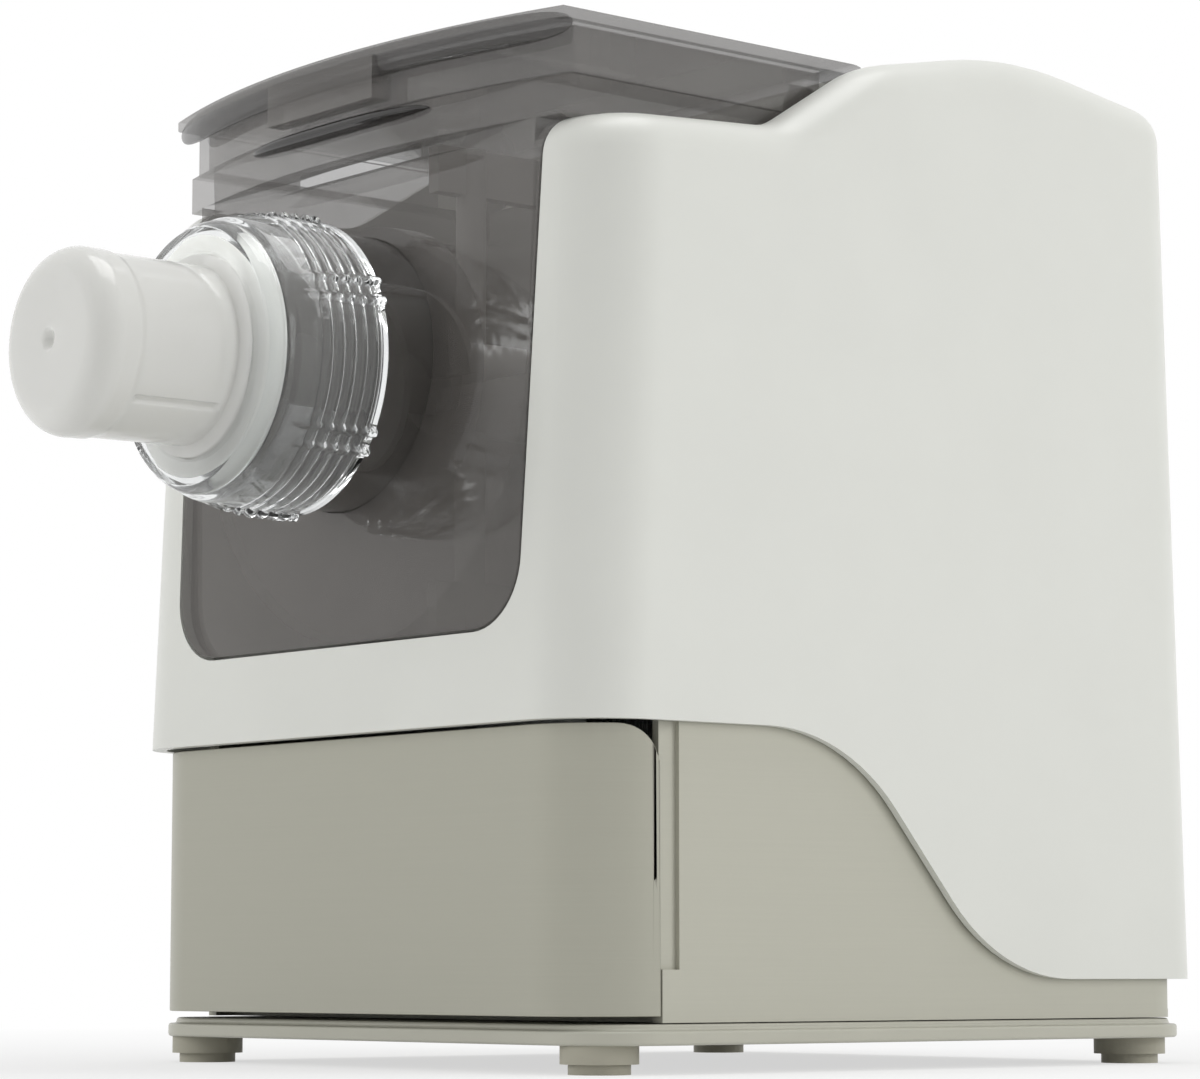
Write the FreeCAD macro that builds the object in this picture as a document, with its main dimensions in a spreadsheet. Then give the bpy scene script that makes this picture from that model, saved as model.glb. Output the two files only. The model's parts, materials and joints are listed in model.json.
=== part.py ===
"""Electric pasta maker: a counter-top mixer and extruder in separate pieces.

The frame has +Z up, +X to the machine's left-hand side panel and -Y out of
its nozzle. All lengths are millimetres. Pieces are laid out about the centre
of the four feet, then every piece moves back by front_shift, which brings
the middle of the whole machine over the origin.
"""
import FreeCAD
import Part
import math
import os
import Sketcher

os.makedirs("parts", exist_ok=True)
doc = FreeCAD.newDocument("PastaMaker")
sheet = doc.addObject("Spreadsheet::Sheet", "Sizes")

DRIVING = {
    # Whole machine
    "half_width": 111.5,
    "rear_reach": 119.5,
    "nose_reach": 221.7,
    "wall": 2.5,
    "gap": 0.3,
    "shut_line": 0.8,
    "skin": 1.6,
    # Feet and base plate
    "foot_inset": 17.5,
    "foot_along": 104.0,
    "foot_radius": 10.7,
    "foot_tread_radius": 8.5,
    "foot_tread_height": 2.8,
    "plate_bottom": 7.8,
    "plate_top": 11.8,
    "plate_lip_top": 13.5,
    "plate_lip_inset": 2.5,
    "plate_front": 117.0,
    "plate_corner": 22.0,
    # Lower shell and drawer
    "base_inset": 3.1,
    "base_back_inset": 5.3,
    "base_corner": 14.0,
    "base_top": 100.0,
    "strip_front": 94.0,
    "strip_rear": 88.0,
    "strip_inset": 1.5,
    "strip_lip_top": 28.0,
    "drawer_bottom": 15.5,
    "drawer_face": 120.0,
    "drawer_wall": 2.8,
    "drawer_corner": 25.0,
    "drawer_top_corner": 13.0,
    "tray_inset": 14.5,
    "tray_rear": 10.0,
    "tray_bottom": 18.3,
    "tray_top": 86.0,
    "runner_height": 8.0,
    # Upper housing, seen from the side
    "skirt_low": 94.7,
    "tail_low": 25.2,
    "bend_front": -28.8,
    "bend_rear": 31.6,
    "bend_radius": 64.0,
    "face_low": 125.0,
    "face_high": 117.7,
    "brow_rise": 61.9,
    "shoulder_back": 48.0,
    "shoulder_rise": 4.6,
    "shoulder_radius": 24.0,
    "knee_back": 12.0,
    "knee_rise": 27.4,
    "knee_radius": 50.0,
    "crest_at": 46.9,
    "crest_rise": 39.4,
    "crest_radius": 130.0,
    "back_lean": 7.8,
    "back_rise": 29.5,
    "front_corner": 24.0,
    "rear_corner": 13.5,
    "top_round": 12.0,
    # Bay for the mixing bin
    "window_side": 28.0,
    "window_flare": 3.5,
    "window_under": 0.6,
    "window_corner": 20.0,
    "recess_side": 14.5,
    "recess_step": 0.2,
    "recess_rear": 2.0,
    "bay_rear": 3.0,
    "liner_front": 114.5,
    "ledge_clear": 0.5,
    # Mixing bin and barrel
    "axis_height": 199.2,
    "trough_side": 4.9,
    "bin_side": 1.0,
    "bin_front": 117.3,
    "bin_rear": 7.5,
    "rim_side": 4.0,
    "rim_height": 11.4,
    "rim_bow": 126.5,
    "rim_corner": 114.0,
    "pull_half": 43.0,
    "pull_reach": 131.5,
    "pull_height": 6.2,
    "barrel_bore": 28.0,
    "barrel_thread": 35.0,
    "barrel_collar": 40.0,
    "barrel_flange": 44.0,
    "barrel_front": 165.0,
    "collar_front": 136.6,
    "barrel_rear": 105.0,
    "barrel_seat": 114.5,
    # Ring nut and shaping die
    "nut_rear": 136.9,
    "nut_front": 175.3,
    "nut_radius": 44.0,
    "nut_rim": 36.2,
    "nut_mouth": 29.0,
    "nut_lip": 4.0,
    "nut_flange": 3.2,
    "ridge_depth": 1.6,
    "ridge_pitch": 4.4,
    "ridge_count": 4,
    "dome_start": 160.0,
    "rib_count": 6,
    "rib_turn": 6.0,
    "rib_radius": 3.1,
    "fit": 0.05,
    "die_flange": 33.5,
    "die_flange_width": 5.0,
    "die_root": 28.6,
    "die_tip": 26.4,
    "die_waist": 25.9,
    "die_edge": 8.0,
    "die_bore": 20.0,
    "dimple_radius": 3.5,
    "slit_width": 1.6,
    "slit_length": 25.0,
    "slit_angle": -42.0,
    # Lid
    "lid_height": 18.0,
    "lid_plate": 3.3,
    "lid_side": 1.5,
    "lid_bow": 132.0,
    "lid_corner": 118.0,
    "lid_overhang": 3.0,
    "lid_nose": 6.0,
    "lid_wall": 2.2,
    "lid_clear": 0.6,
    "pivot_back": 9.0,
    "skirt_rear": 19.8,
    "pivot_drop": 8.7,
    "pin_radius": 1.5,
    "ear_radius": 4.8,
    "ear_width": 5.5,
    "knuckle_width": 6.5,
    "knuckle_side": 13.5,
    "tab_half": 26.0,
    "tab_rise": 2.3,
    # Auger and paddle
    "core_radius": 9.0,
    "journal_radius": 8.9,
    "flight_radius": 27.4,
    "flight_pitch": 24.0,
    "flight_width": 4.0,
    "flight_taper": 0.6,
    "flight_front": 160.0,
    "flight_rear": 96.0,
    "auger_rear": 6.9,
    "hub_radius": 14.0,
    "hub_front": 90.0,
    "hub_rear": 14.0,
    "blade_clear": 6.6,
    "blade_depth": 14.0,
    "blade_width": 5.0,
    "arm_radius": 4.5,
    # Drive
    "hex_radius": 6.6,
    "socket_clear": 0.25,
    "hex_front": 16.0,
    "shaft_radius": 8.0,
    "gear_module": 2.0,
    "tooth_rise": 0.9,
    "tooth_fall": 1.15,
    "tooth_root_share": 1.55,
    "tooth_tip_share": 0.45,
    "drive_teeth": 40,
    "idler_teeth": 36,
    "pinion_teeth": 10,
    "backlash": 0.25,
    "plate_one": 8.0,
    "plate_two": 48.0,
    "plate_thick": 4.0,
    "gearbox_half": 48.0,
    "gearbox_drop": 133.2,
    "gearbox_rise": 46.8,
    "slow_gear_at": 16.0,
    "slow_gear_width": 12.0,
    "fast_gear_at": 36.5,
    "fast_gear_width": 8.0,
    "post_radius": 5.0,
    "post_across": 40.0,
    "post_inset": 8.0,
    "bush_wall": 3.0,
    "axle_radius": 4.0,
    "motor_radius": 29.0,
    "motor_clear": 15.5,
    "fan_radius": 22.0,
    "fan_clear": 2.0,
    "fan_width": 5.0,
    "fan_blades": 8,
    # Back cover and inlet
    "cover_half": 62.0,
    "cover_low": 66.0,
    "cover_rise": 40.8,
    "vent_half": 44.0,
    "vent_height": 3.0,
    "vent_pitch": 8.0,
    "vent_low": 90.0,
    "vent_count": 9,
    "inlet_side": 29.5,
    "inlet_height": 52.0,
    "inlet_half_wide": 14.0,
    "inlet_half_high": 10.0,
    "inlet_inset": 1.3,
    "inlet_length": 22.2,
    "inlet_depth": 16.0,
    "pin_apart": 5.0,
    "contact_radius": 1.2,
    # Controls
    "pocket_half": 62.0,
    "pocket_front": 38.0,
    "pocket_rear": 84.0,
    "pocket_rise": 1.0,
    "panel_thick": 2.2,
    "button_radius": 7.0,
    "button_pitch": 26.0,
    "button_y": 66.5,
    "button_rise": 3.9,
    "button_travel": 0.8,
    "lens_half": 36.0,
    "lens_front": 44.0,
    "lens_rear": 56.0,
    "board_drop": 12.5,
    "board_thick": 1.6,
}


class Size:
    """A length that knows its value and the sheet formula it comes from."""

    def __init__(self, value, text):
        self.value = value
        self.text = text

    def __add__(self, other):
        other = size(other)
        return Size(self.value + other.value, f"({self.text} + {other.text})")

    def __sub__(self, other):
        other = size(other)
        return Size(self.value - other.value, f"({self.text} - {other.text})")

    def __mul__(self, factor):
        other = size(factor)
        return Size(self.value * other.value, f"({self.text} * {other.text})")

    def __truediv__(self, factor):
        other = size(factor)
        return Size(self.value / other.value, f"({self.text} / {other.text})")

    def __neg__(self):
        return Size(-self.value, f"(0 - {self.text})")

    def __radd__(self, other):
        return size(other) + self

    def __rsub__(self, other):
        return size(other) - self

    def __rmul__(self, other):
        return self * other


def size(number):
    """Return number as a Size."""
    if isinstance(number, Size):
        return number
    return Size(float(number), f"({number:g})")


class Driving:
    """The driving sizes by name."""


for row, (alias, number) in enumerate(DRIVING.items(), start=1):
    sheet.set(f"A{row}", alias.replace("_", " "))
    sheet.set(f"B{row}", str(number))
    sheet.setAlias(f"B{row}", alias)
    setattr(Driving, alias, Size(float(number), f"Sizes.{alias}"))
doc.recompute()
d = Driving

# Widths that follow the housing's half width
d.foot_across = d.half_width - d.foot_inset
d.tray_half = d.half_width - d.tray_inset
d.window_half = d.half_width - d.window_side
d.window_half_top = d.window_half + d.window_flare
d.recess_half = d.half_width - d.recess_side
d.ledge_half = d.recess_half - d.ledge_clear
d.trough_radius = d.window_half - d.trough_side
d.bin_half_top = d.window_half - d.bin_side
d.rim_half = d.recess_half - d.rim_side
d.lid_half = d.recess_half - d.lid_side
d.knuckle_out = d.lid_half - d.knuckle_side
d.ear_out = d.knuckle_out - d.knuckle_width
d.ear_in = d.ear_out - d.ear_width
d.blade_out = d.trough_radius - d.blade_clear
d.blade_in = d.blade_out - d.blade_depth
d.inlet_across = d.half_width - d.inlet_side

# Places that follow the back of the housing
d.back_high = d.rear_reach - d.back_lean
d.inlet_rear = d.rear_reach - d.inlet_inset
d.inlet_front = d.inlet_rear - d.inlet_length
d.motor_rear = d.rear_reach - d.motor_clear
d.fan_at = d.motor_rear + d.fan_clear

# Heights that follow the auger's axis
d.window_low = d.axis_height - d.trough_radius - d.window_under
d.brow_top = d.axis_height + d.brow_rise
d.shoulder_top = d.brow_top + d.shoulder_rise
d.knee_top = d.brow_top + d.knee_rise
d.crest_top = d.brow_top + d.crest_rise
d.back_top = d.brow_top + d.back_rise
d.recess_low = d.brow_top + d.recess_step
d.rim_top = d.recess_low + d.rim_height
d.pull_low = d.rim_top - d.pull_height
d.skirt_bottom = d.rim_top + d.lid_clear
d.lid_top = d.rim_top + d.lid_height
d.pivot_height = d.lid_top - d.pivot_drop
d.tab_low = d.rim_top + d.tab_rise
d.gearbox_low = d.axis_height - d.gearbox_drop
d.gearbox_high = d.axis_height + d.gearbox_rise
d.post_low = d.gearbox_low + d.post_inset
d.cover_high = d.axis_height + d.cover_rise
d.pocket_floor = d.back_top + d.pocket_rise
d.button_top = d.pocket_floor + d.button_rise
d.board_low = d.pocket_floor - d.board_drop

front_shift = (d.nose_reach - d.rear_reach) / 2
QUARTER_TURN = 90.0
FULL_TURN = 360.0
Y_AXIS = FreeCAD.Rotation(FreeCAD.Vector(1, 0, 0), QUARTER_TURN)
X_AXIS = FreeCAD.Rotation(FreeCAD.Vector(0, 1, 0), QUARTER_TURN)
UPRIGHT = FreeCAD.Rotation()
nodes = []


def bind(item, **values):
    """Tie each property of item to its size."""
    for name, value in values.items():
        value = size(value)
        item.setExpression(name.replace("__", "."), value.text)


def place(item, x, y, z, turn=UPRIGHT):
    """Put item at a point worked out from the sheet."""
    x, y, z = size(x), size(y), size(z)
    item.Placement = FreeCAD.Placement(FreeCAD.Vector(x.value, y.value, z.value), turn)
    bind(item, Placement__Base__x=x, Placement__Base__y=y, Placement__Base__z=z)
    item.Label2 = y.text


def node(item, label):
    """Name a finished piece and move it back with the whole machine."""
    item.Label = label
    along = Size(item.Placement.Base.y, item.Label2 or "(0)") + front_shift
    item.Placement.Base.y = along.value
    bind(item, Placement__Base__y=along)
    nodes.append(item)
    return item


def box(name, x0, x1, y0, y1, z0, z1):
    """A block between two corners."""
    item = doc.addObject("Part::Box", name)
    bind(item, Length=size(x1) - x0, Width=size(y1) - y0, Height=size(z1) - z0)
    place(item, x0, y0, z0)
    return item


def rod(name, radius, x, y, z, length, turn=Y_AXIS):
    """A round bar: along -Y by default, along +Z or +X with another turn."""
    item = doc.addObject("Part::Cylinder", name)
    bind(item, Radius=radius, Height=length)
    place(item, x, y, z, turn)
    return item


def rod_y(name, radius, x, z, y0, y1):
    """A round bar along Y between y0 (front) and y1 (rear)."""
    return rod(name, radius, x, y1, z, size(y1) - y0)


def fuse(name, *items):
    """One piece made of several."""
    item = doc.addObject("Part::MultiFuse", name)
    item.Shapes = list(items)
    return item


def group(name, *items):
    """Equal loose pieces that share one name."""
    item = doc.addObject("Part::Compound", name)
    item.Links = list(items)
    return item


def cut(name, base, *tools):
    """Base with the tools taken away."""
    item = doc.addObject("Part::Cut", name)
    item.Base = base
    item.Tool = tools[0] if len(tools) == 1 else fuse(name + "Tools", *tools)
    return item


def common(name, first, second):
    """What both pieces share."""
    item = doc.addObject("Part::MultiCommon", name)
    item.Shapes = [first, second]
    return item


def arc_centre(start, end, radius):
    """Centre of a minor arc; a positive radius bulges to the right of travel."""
    along = end - start
    half = along.Length / 2
    side = FreeCAD.Vector(-along.y, along.x, 0).normalize()
    reach = math.sqrt(max(radius * radius - half * half, 0.0))
    return (start + end) / 2 + side * math.copysign(reach, radius)


def add_outline(sketch, points):
    """Draw a closed outline; a third entry makes the next edge an arc."""
    ends = [FreeCAD.Vector(size(p[0]).value, size(p[1]).value, 0) for p in points]
    count = len(points)
    first = sketch.GeometryCount
    start_of = []
    for i, point in enumerate(points):
        start, end = ends[i], ends[(i + 1) % count]
        if len(point) == 2:
            sketch.addGeometry(Part.LineSegment(start, end), False)
            start_of.append((1, 2))
            continue
        radius = size(point[2])
        centre = arc_centre(start, end, radius.value)
        circle = Part.Circle(centre, FreeCAD.Vector(0, 0, 1), abs(radius.value))
        turn = [math.atan2(e.y - centre.y, e.x - centre.x) for e in (start, end)]
        if radius.value > 0:
            sketch.addGeometry(Part.ArcOfCircle(circle, turn[0], turn[1]), False)
            start_of.append((1, 2))
        else:
            sketch.addGeometry(Part.ArcOfCircle(circle, turn[1], turn[0]), False)
            start_of.append((2, 1))
    for i in range(count):
        after = (i + 1) % count
        pair = (first + i, start_of[i][1], first + after, start_of[after][0])
        sketch.addConstraint(Sketcher.Constraint("Coincident", *pair))
    for i, point in enumerate(points):
        for kind, value in (("DistanceX", size(point[0])), ("DistanceY", size(point[1]))):
            where = (-1, 1, first + i, start_of[i][0], value.value)
            number = sketch.addConstraint(Sketcher.Constraint(kind, *where))
            sketch.setExpression(f"Constraints[{number}]", value.text)
        if len(point) == 3:
            radius = size(point[2])
            text = radius.text if radius.value > 0 else f"(0 - {radius.text})"
            rule = Sketcher.Constraint("Radius", first + i, abs(radius.value))
            number = sketch.addConstraint(rule)
            sketch.setExpression(f"Constraints[{number}]", text)


def sketch_on(body, role, outlines):
    """A sketch on one of the body's own base planes."""
    sketch = body.newObject("Sketcher::SketchObject", body.Name + "Sketch")
    plane = [f for f in body.Origin.OriginFeatures if f.Role == role][0]
    sketch.AttachmentSupport = [(plane, "")]
    sketch.MapMode = "FlatFace"
    for points in outlines:
        add_outline(sketch, points)
    return sketch


def prism(name, role, outlines, length, start=0.0, middle=False):
    """A padded outline, moved to start along the plane's normal."""
    body = doc.addObject("PartDesign::Body", name)
    sketch = sketch_on(body, role, outlines)
    pad = body.newObject("PartDesign::Pad", name + "Pad")
    pad.Profile = sketch
    pad.Midplane = middle
    bind(pad, Length=length)
    start = size(start)
    away = {"XY_Plane": (0, 0, start), "XZ_Plane": (0, start, 0), "YZ_Plane": (start, 0, 0)}
    place(body, *away[role])
    return body, pad


def turned(name, points, x=0.0, y=0.0, z=0.0):
    """A revolved piece about the Y axis; points are (radius, place along Y)."""
    body = doc.addObject("PartDesign::Body", name)
    sketch = sketch_on(body, "XY_Plane", [points])
    wheel = body.newObject("PartDesign::Revolution", name + "Turn")
    wheel.Profile = sketch
    wheel.ReferenceAxis = (sketch, ["V_Axis"])
    wheel.Angle = 360
    place(body, x, y, z)
    return body, wheel


def round_edges(body, feature, radius, wanted):
    """Round the edges of the feature that the test picks."""
    doc.recompute()
    names = [f"Edge{i}" for i, e in enumerate(feature.Shape.Edges, start=1) if wanted(e)]
    fillet = body.newObject("PartDesign::Fillet", feature.Name + "Round")
    fillet.Base = (feature, names)
    bind(fillet, Radius=radius)
    return fillet


def rounded(half, y0, y1, corner):
    """A rectangle about X = 0 with four round corners."""
    half, y0, y1, corner = size(half), size(y0), size(y1), size(corner)
    return [
        (-half + corner, y0), (half - corner, y0, corner),
        (half, y0 + corner), (half, y1 - corner, corner),
        (half - corner, y1), (-half + corner, y1, corner),
        (-half, y1 - corner), (-half, y0 + corner, corner),
    ]


def u_shape(half, half_top, low, high, corner):
    """A window outline with round lower corners, half_top wide at the brow."""
    straight = low + corner
    half_top = half + (half_top - half) * (high - straight) / (d.brow_top - straight)
    return [
        (-half + corner, low), (half - corner, low, corner),
        (half, low + corner), (half_top, high),
        (-half_top, high), (-half, low + corner, corner),
    ]


def part_feature(name, shape, x=0.0, y=0.0, z=0.0, turn=UPRIGHT):
    """A piece whose shape is computed from the sheet's values."""
    item = doc.addObject("Part::Feature", name)
    item.Shape = shape
    place(item, x, y, z, turn)
    return item


def make_feet():
    """Four rubber feet, each with a smaller tread below."""
    feet = []
    for side in (-1, 1):
        for end in (-1, 1):
            x, y = d.foot_across * side, d.foot_along * end
            tall = d.plate_bottom - d.foot_tread_height
            pad = rod("FootPad", d.foot_radius, x, y, d.foot_tread_height, tall, UPRIGHT)
            tread = rod("FootTread", d.foot_tread_radius, x, y, 0.0, d.foot_tread_height, UPRIGHT)
            feet.append(fuse("Foot", pad, tread))
    node(group("Feet", *feet), "rubber_feet")


def make_base_plate():
    """The bottom plate with its set-in lip."""
    plan = rounded(d.half_width, -d.plate_front, d.rear_reach, d.plate_corner)
    flange, _ = prism("PlateFlange", "XY_Plane", [plan], d.plate_top - d.plate_bottom, d.plate_bottom)
    inset = d.plate_lip_inset
    plan = rounded(d.half_width - inset, -d.plate_front + inset, d.rear_reach - inset,
                   d.plate_corner - inset)
    lip, _ = prism("PlateLip", "XY_Plane", [plan], d.plate_lip_top - d.plate_top, d.plate_top)
    node(fuse("BasePlate", flange, lip), "base_plate")


base_half = d.half_width - d.base_inset
base_rear = d.rear_reach - d.base_back_inset
base_floor = d.plate_lip_top + d.gap


def make_base_shell():
    """The lower tub, open in front for the drawer, with its side jambs."""
    outer_plan = rounded(base_half, -d.strip_rear - d.base_corner, base_rear, d.base_corner)
    outer, _ = prism("ShellOuter", "XY_Plane", [outer_plan], d.base_top - base_floor, base_floor)
    inner_half = base_half - d.wall
    floor_top = base_floor + d.wall
    inner = box("ShellInner", -inner_half, inner_half, -d.face_low, base_rear - d.wall,
                floor_top, d.base_top + d.wall)
    front = box("ShellFront", -d.half_width, d.half_width, -d.face_low, -d.strip_rear,
                base_floor - d.wall, d.base_top + d.wall)
    pieces = [cut("ShellBox", outer, inner, front)]
    for side in (-1, 1):
        jamb_out = base_half - d.strip_inset
        jamb_in = jamb_out - d.wall
        x0, x1 = sorted((jamb_in * side, jamb_out * side), key=lambda s: s.value)
        pieces.append(box("Jamb", x0, x1, -d.strip_front, -d.strip_rear, base_floor, d.base_top))
        x0, x1 = sorted((jamb_in * side, base_half * side), key=lambda s: s.value)
        pieces.append(box("JambLip", x0, x1, -d.strip_front, -d.strip_rear, base_floor,
                          d.strip_lip_top))
    body = fuse("BaseShellBody", *pieces)
    sockets = inlet_hole("BaseInletHole", d.wall * 2)
    node(cut("BaseShell", body, sockets), "base_shell")


def inlet_hole(name, extra):
    """The rectangular hole for the power inlet."""
    half_wide = d.inlet_half_wide + d.gap
    half_high = d.inlet_half_high + d.gap
    return box(name, d.inlet_across - half_wide, d.inlet_across + half_wide,
               d.inlet_front - extra, d.rear_reach + extra,
               d.inlet_height - half_high, d.inlet_height + half_high)


def make_runners():
    """Two plain rails that guide the drawer's tray."""
    rails = []
    inner = base_half - d.wall
    for side in (-1, 1):
        near = d.tray_half + d.gap
        x0, x1 = sorted((near * side, inner * side), key=lambda s: s.value)
        low = base_floor + d.wall
        rails.append(box("Rail", x0, x1, -d.strip_rear, -d.tray_rear, low, low + d.runner_height))
    node(group("Rails", *rails), "drawer_runners")


def make_drawer():
    """The wrap-round drawer face and the tray behind it."""
    high = d.skirt_low - d.shut_line
    back = -d.strip_front + d.gap - d.shut_line
    half, face, corner, thick = base_half, d.drawer_face, d.drawer_corner, d.drawer_wall
    plan = [
        (-half + corner, -face), (half - corner, -face, corner),
        (half, -face + corner), (half, back), (half - thick, back),
        (half - thick, -face + corner, -(corner - thick)),
        (half - corner, -face + thick), (-half + corner, -face + thick, -(corner - thick)),
        (-half + thick, -face + corner), (-half + thick, back), (-half, back),
        (-half, -face + corner, corner),
    ]
    face_block, _ = prism("DrawerFace", "XY_Plane", [plan], high - d.drawer_bottom, d.drawer_bottom)
    turn_in = d.drawer_top_corner
    side_view = [(-face - thick, d.drawer_bottom), (back, d.drawer_bottom),
                 (back, high - turn_in, turn_in), (back - turn_in, high), (-face - thick, high)]
    side_form, _ = prism("DrawerSideForm", "YZ_Plane", [side_view], half * 2 + thick * 2, middle=True)
    node(common("DrawerFront", face_block, side_form), "drawer_front")
    tray_front = -face + thick
    hull = box("TrayHull", -d.tray_half, d.tray_half, tray_front, -d.tray_rear,
               d.tray_bottom, d.tray_top)
    room = box("TrayRoom", d.wall - d.tray_half, d.tray_half - d.wall, tray_front + d.wall,
               -d.tray_rear - d.wall, d.tray_bottom + d.wall, d.tray_top + d.wall)
    corner_cuts = []
    reach = corner - thick
    for side in (-1, 1):
        far = half - thick - reach
        x0, x1 = sorted((far * side, d.half_width * side), key=lambda s: s.value)
        corner_cuts.append(box("TrayCorner", x0, x1, tray_front - d.wall, tray_front + reach,
                               d.tray_bottom - d.wall, d.tray_top + d.wall))
    closed = []
    for side in (-1, 1):
        far = half - thick - reach
        x0, x1 = sorted(((far - d.wall) * side, far * side), key=lambda s: s.value)
        closed.append(box("TrayCheek", x0, x1, tray_front, tray_front + reach + d.wall,
                          d.tray_bottom, d.tray_top))
        x0, x1 = sorted(((far - d.wall) * side, d.tray_half * side), key=lambda s: s.value)
        closed.append(box("TrayStep", x0, x1, tray_front + reach, tray_front + reach + d.wall,
                          d.tray_bottom, d.tray_top))
    open_tray = cut("TrayOpen", hull, room, *corner_cuts)
    node(fuse("DrawerTray", open_tray, *closed), "drawer_tray")


def side_profile(t, open_below):
    """The housing's side view, t inside the outer skin, with its bends sharp."""
    front, rear = -d.face_low + t, d.rear_reach - t
    lower = [(front, d.skirt_low), (d.bend_front, d.skirt_low),
             (d.bend_rear, d.tail_low), (rear, d.tail_low)]
    if open_below:
        low = d.tail_low - d.wall
        lower = [(front, low), (rear, low)]
    upper = [(d.back_high - t, d.back_top - t), (d.crest_at, d.crest_top - t),
             (-d.knee_back, d.knee_top - t), (-d.shoulder_back, d.shoulder_top - t),
             (-d.face_high + t, d.brow_top - t)]
    return lower + upper


def housing_block(name, inset, open_below):
    """The housing's outer or inner form: a padded side view with round edges."""
    t = size(inset)
    half = d.half_width - t
    body, feature = prism(name, "YZ_Plane", [side_profile(t, open_below)], half * 2, middle=True)

    def across(edge, y, z):
        middle = edge.BoundBox.Center
        near = abs(middle.y - size(y).value) < 0.1 and abs(middle.z - size(z).value) < 0.1
        return near and edge.BoundBox.XLength > half.value

    bends = [(-d.shoulder_back, d.shoulder_top - t, d.shoulder_radius + t),
             (-d.knee_back, d.knee_top - t, d.knee_radius - t),
             (d.crest_at, d.crest_top - t, d.crest_radius - t)]
    if not open_below:
        bends += [(d.bend_front, d.skirt_low, d.bend_radius), (d.bend_rear, d.tail_low, d.bend_radius)]
    for y, z, radius in bends:
        feature = round_edges(body, feature, radius, lambda e: across(e, y, z))

    def standing(edge, rear):
        extent = edge.BoundBox
        tall = extent.ZLength > d.brow_top.value / 3 and extent.XLength < d.gap.value
        return tall and (extent.YMin > 0) == rear

    for corner, rear in ((d.front_corner - t, False), (d.rear_corner - t, True)):
        feature = round_edges(body, feature, corner, lambda e: standing(e, rear))

    def on_top(edge):
        extent = edge.BoundBox
        level = extent.ZLength < d.crest_rise.value and extent.ZMin > (d.brow_top - t).value - 1
        inside = extent.XMin > -half.value + 0.1 and extent.XMax < half.value - 0.1
        crossing = extent.XMin < 0 < extent.XMax and extent.YMin > -d.face_high.value + d.wall.value * 2
        back = extent.YMin > (d.back_high - t).value - 1
        return level and (back or not crossing)

    feature = round_edges(body, feature, d.top_round - t, on_top)
    body.Tip = feature
    return body


outer_block = housing_block("HousingOuter", 0.0, False)
inner_block = housing_block("HousingInner", d.wall, True)
shell = cut("HousingShell", outer_block, inner_block)


def window_prism(name, shrink, y0, y1, high):
    """The bay window's outline, drawn shrink smaller, as a block along Y."""
    s, high = size(shrink), size(high)
    points = u_shape(d.window_half - s, d.window_half_top - s, d.window_low + s, high,
                     d.window_corner - s)
    body, _ = prism(name, "XZ_Plane", [points], size(y1) - y0, y1)
    return body


def make_housing():
    """The white upper housing with its window, lid recess and control pocket."""
    far = d.face_low + d.wall * 4
    window = window_prism("WindowCut", 0.0, -far, -d.bay_rear, d.crest_top + d.wall)
    recess = box("RecessCut", -d.recess_half, d.recess_half, -far, d.recess_rear,
                 d.recess_low, d.crest_top + d.top_round)
    pocket = box("PocketCut", -d.pocket_half, d.pocket_half, d.pocket_front, d.pocket_rear,
                 d.pocket_floor, d.crest_top + d.top_round)
    cover = box("CoverCut", -d.cover_half, d.cover_half, d.back_high - d.wall * 4,
                d.rear_reach + d.wall, d.cover_low, d.cover_high)
    inlet = inlet_hole("HousingInletHole", d.wall)
    skin = cut("HousingSkin", shell, window, recess, pocket, cover, inlet)
    wall_out = d.recess_half + d.wall
    ring = box("RecessRing", -wall_out, wall_out, -d.face_high + d.front_corner,
               d.recess_rear + d.wall, d.recess_low - d.wall,
               d.crest_top + d.top_round)
    room = box("RecessRoom", -d.recess_half, d.recess_half, -far, d.recess_rear,
               d.recess_low - d.wall * 2, d.crest_top + d.top_round * 2)
    walls = common("RecessWalls", cut("RecessFrame", ring, room), outer_block)
    wall = d.wall
    tray = box("PocketTray", -d.pocket_half - wall, d.pocket_half + wall, d.pocket_front - wall,
               d.pocket_rear + wall, d.pocket_floor - wall, d.crest_top + d.top_round)
    room = box("PocketRoom", -d.pocket_half, d.pocket_half, d.pocket_front, d.pocket_rear,
               d.pocket_floor, d.crest_top + d.top_round * 2)
    hatch = box("PocketHatch", -d.pocket_half + d.wall * 3, d.pocket_half - d.wall * 3,
                d.pocket_front + d.wall * 3, d.pocket_rear - d.wall * 3,
                d.pocket_floor - d.wall * 2, d.pocket_floor + d.wall)
    pocket_walls = common("PocketWalls", cut("PocketFrame", tray, room, hatch), outer_block)
    node(fuse("Housing", skin, walls, pocket_walls), "main_housing")


def make_rear_cover():
    """The back panel with its row of air slots."""
    shut = d.gap
    panel = box("CoverPanel", -d.cover_half + shut, d.cover_half - shut,
                d.back_high - d.wall * 4, d.rear_reach + d.wall,
                d.cover_low + shut, d.cover_high - shut)
    plate = common("CoverPlate", shell, panel)
    slots = []
    for i in range(int(d.vent_count.value)):
        z = d.vent_low + d.vent_pitch * i
        slots.append(box("Vent", -d.vent_half, d.vent_half, d.back_high - d.wall * 4,
                         d.rear_reach + d.wall, z, z + d.vent_height))
    node(cut("RearCover", plate, *slots), "rear_cover")


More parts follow.
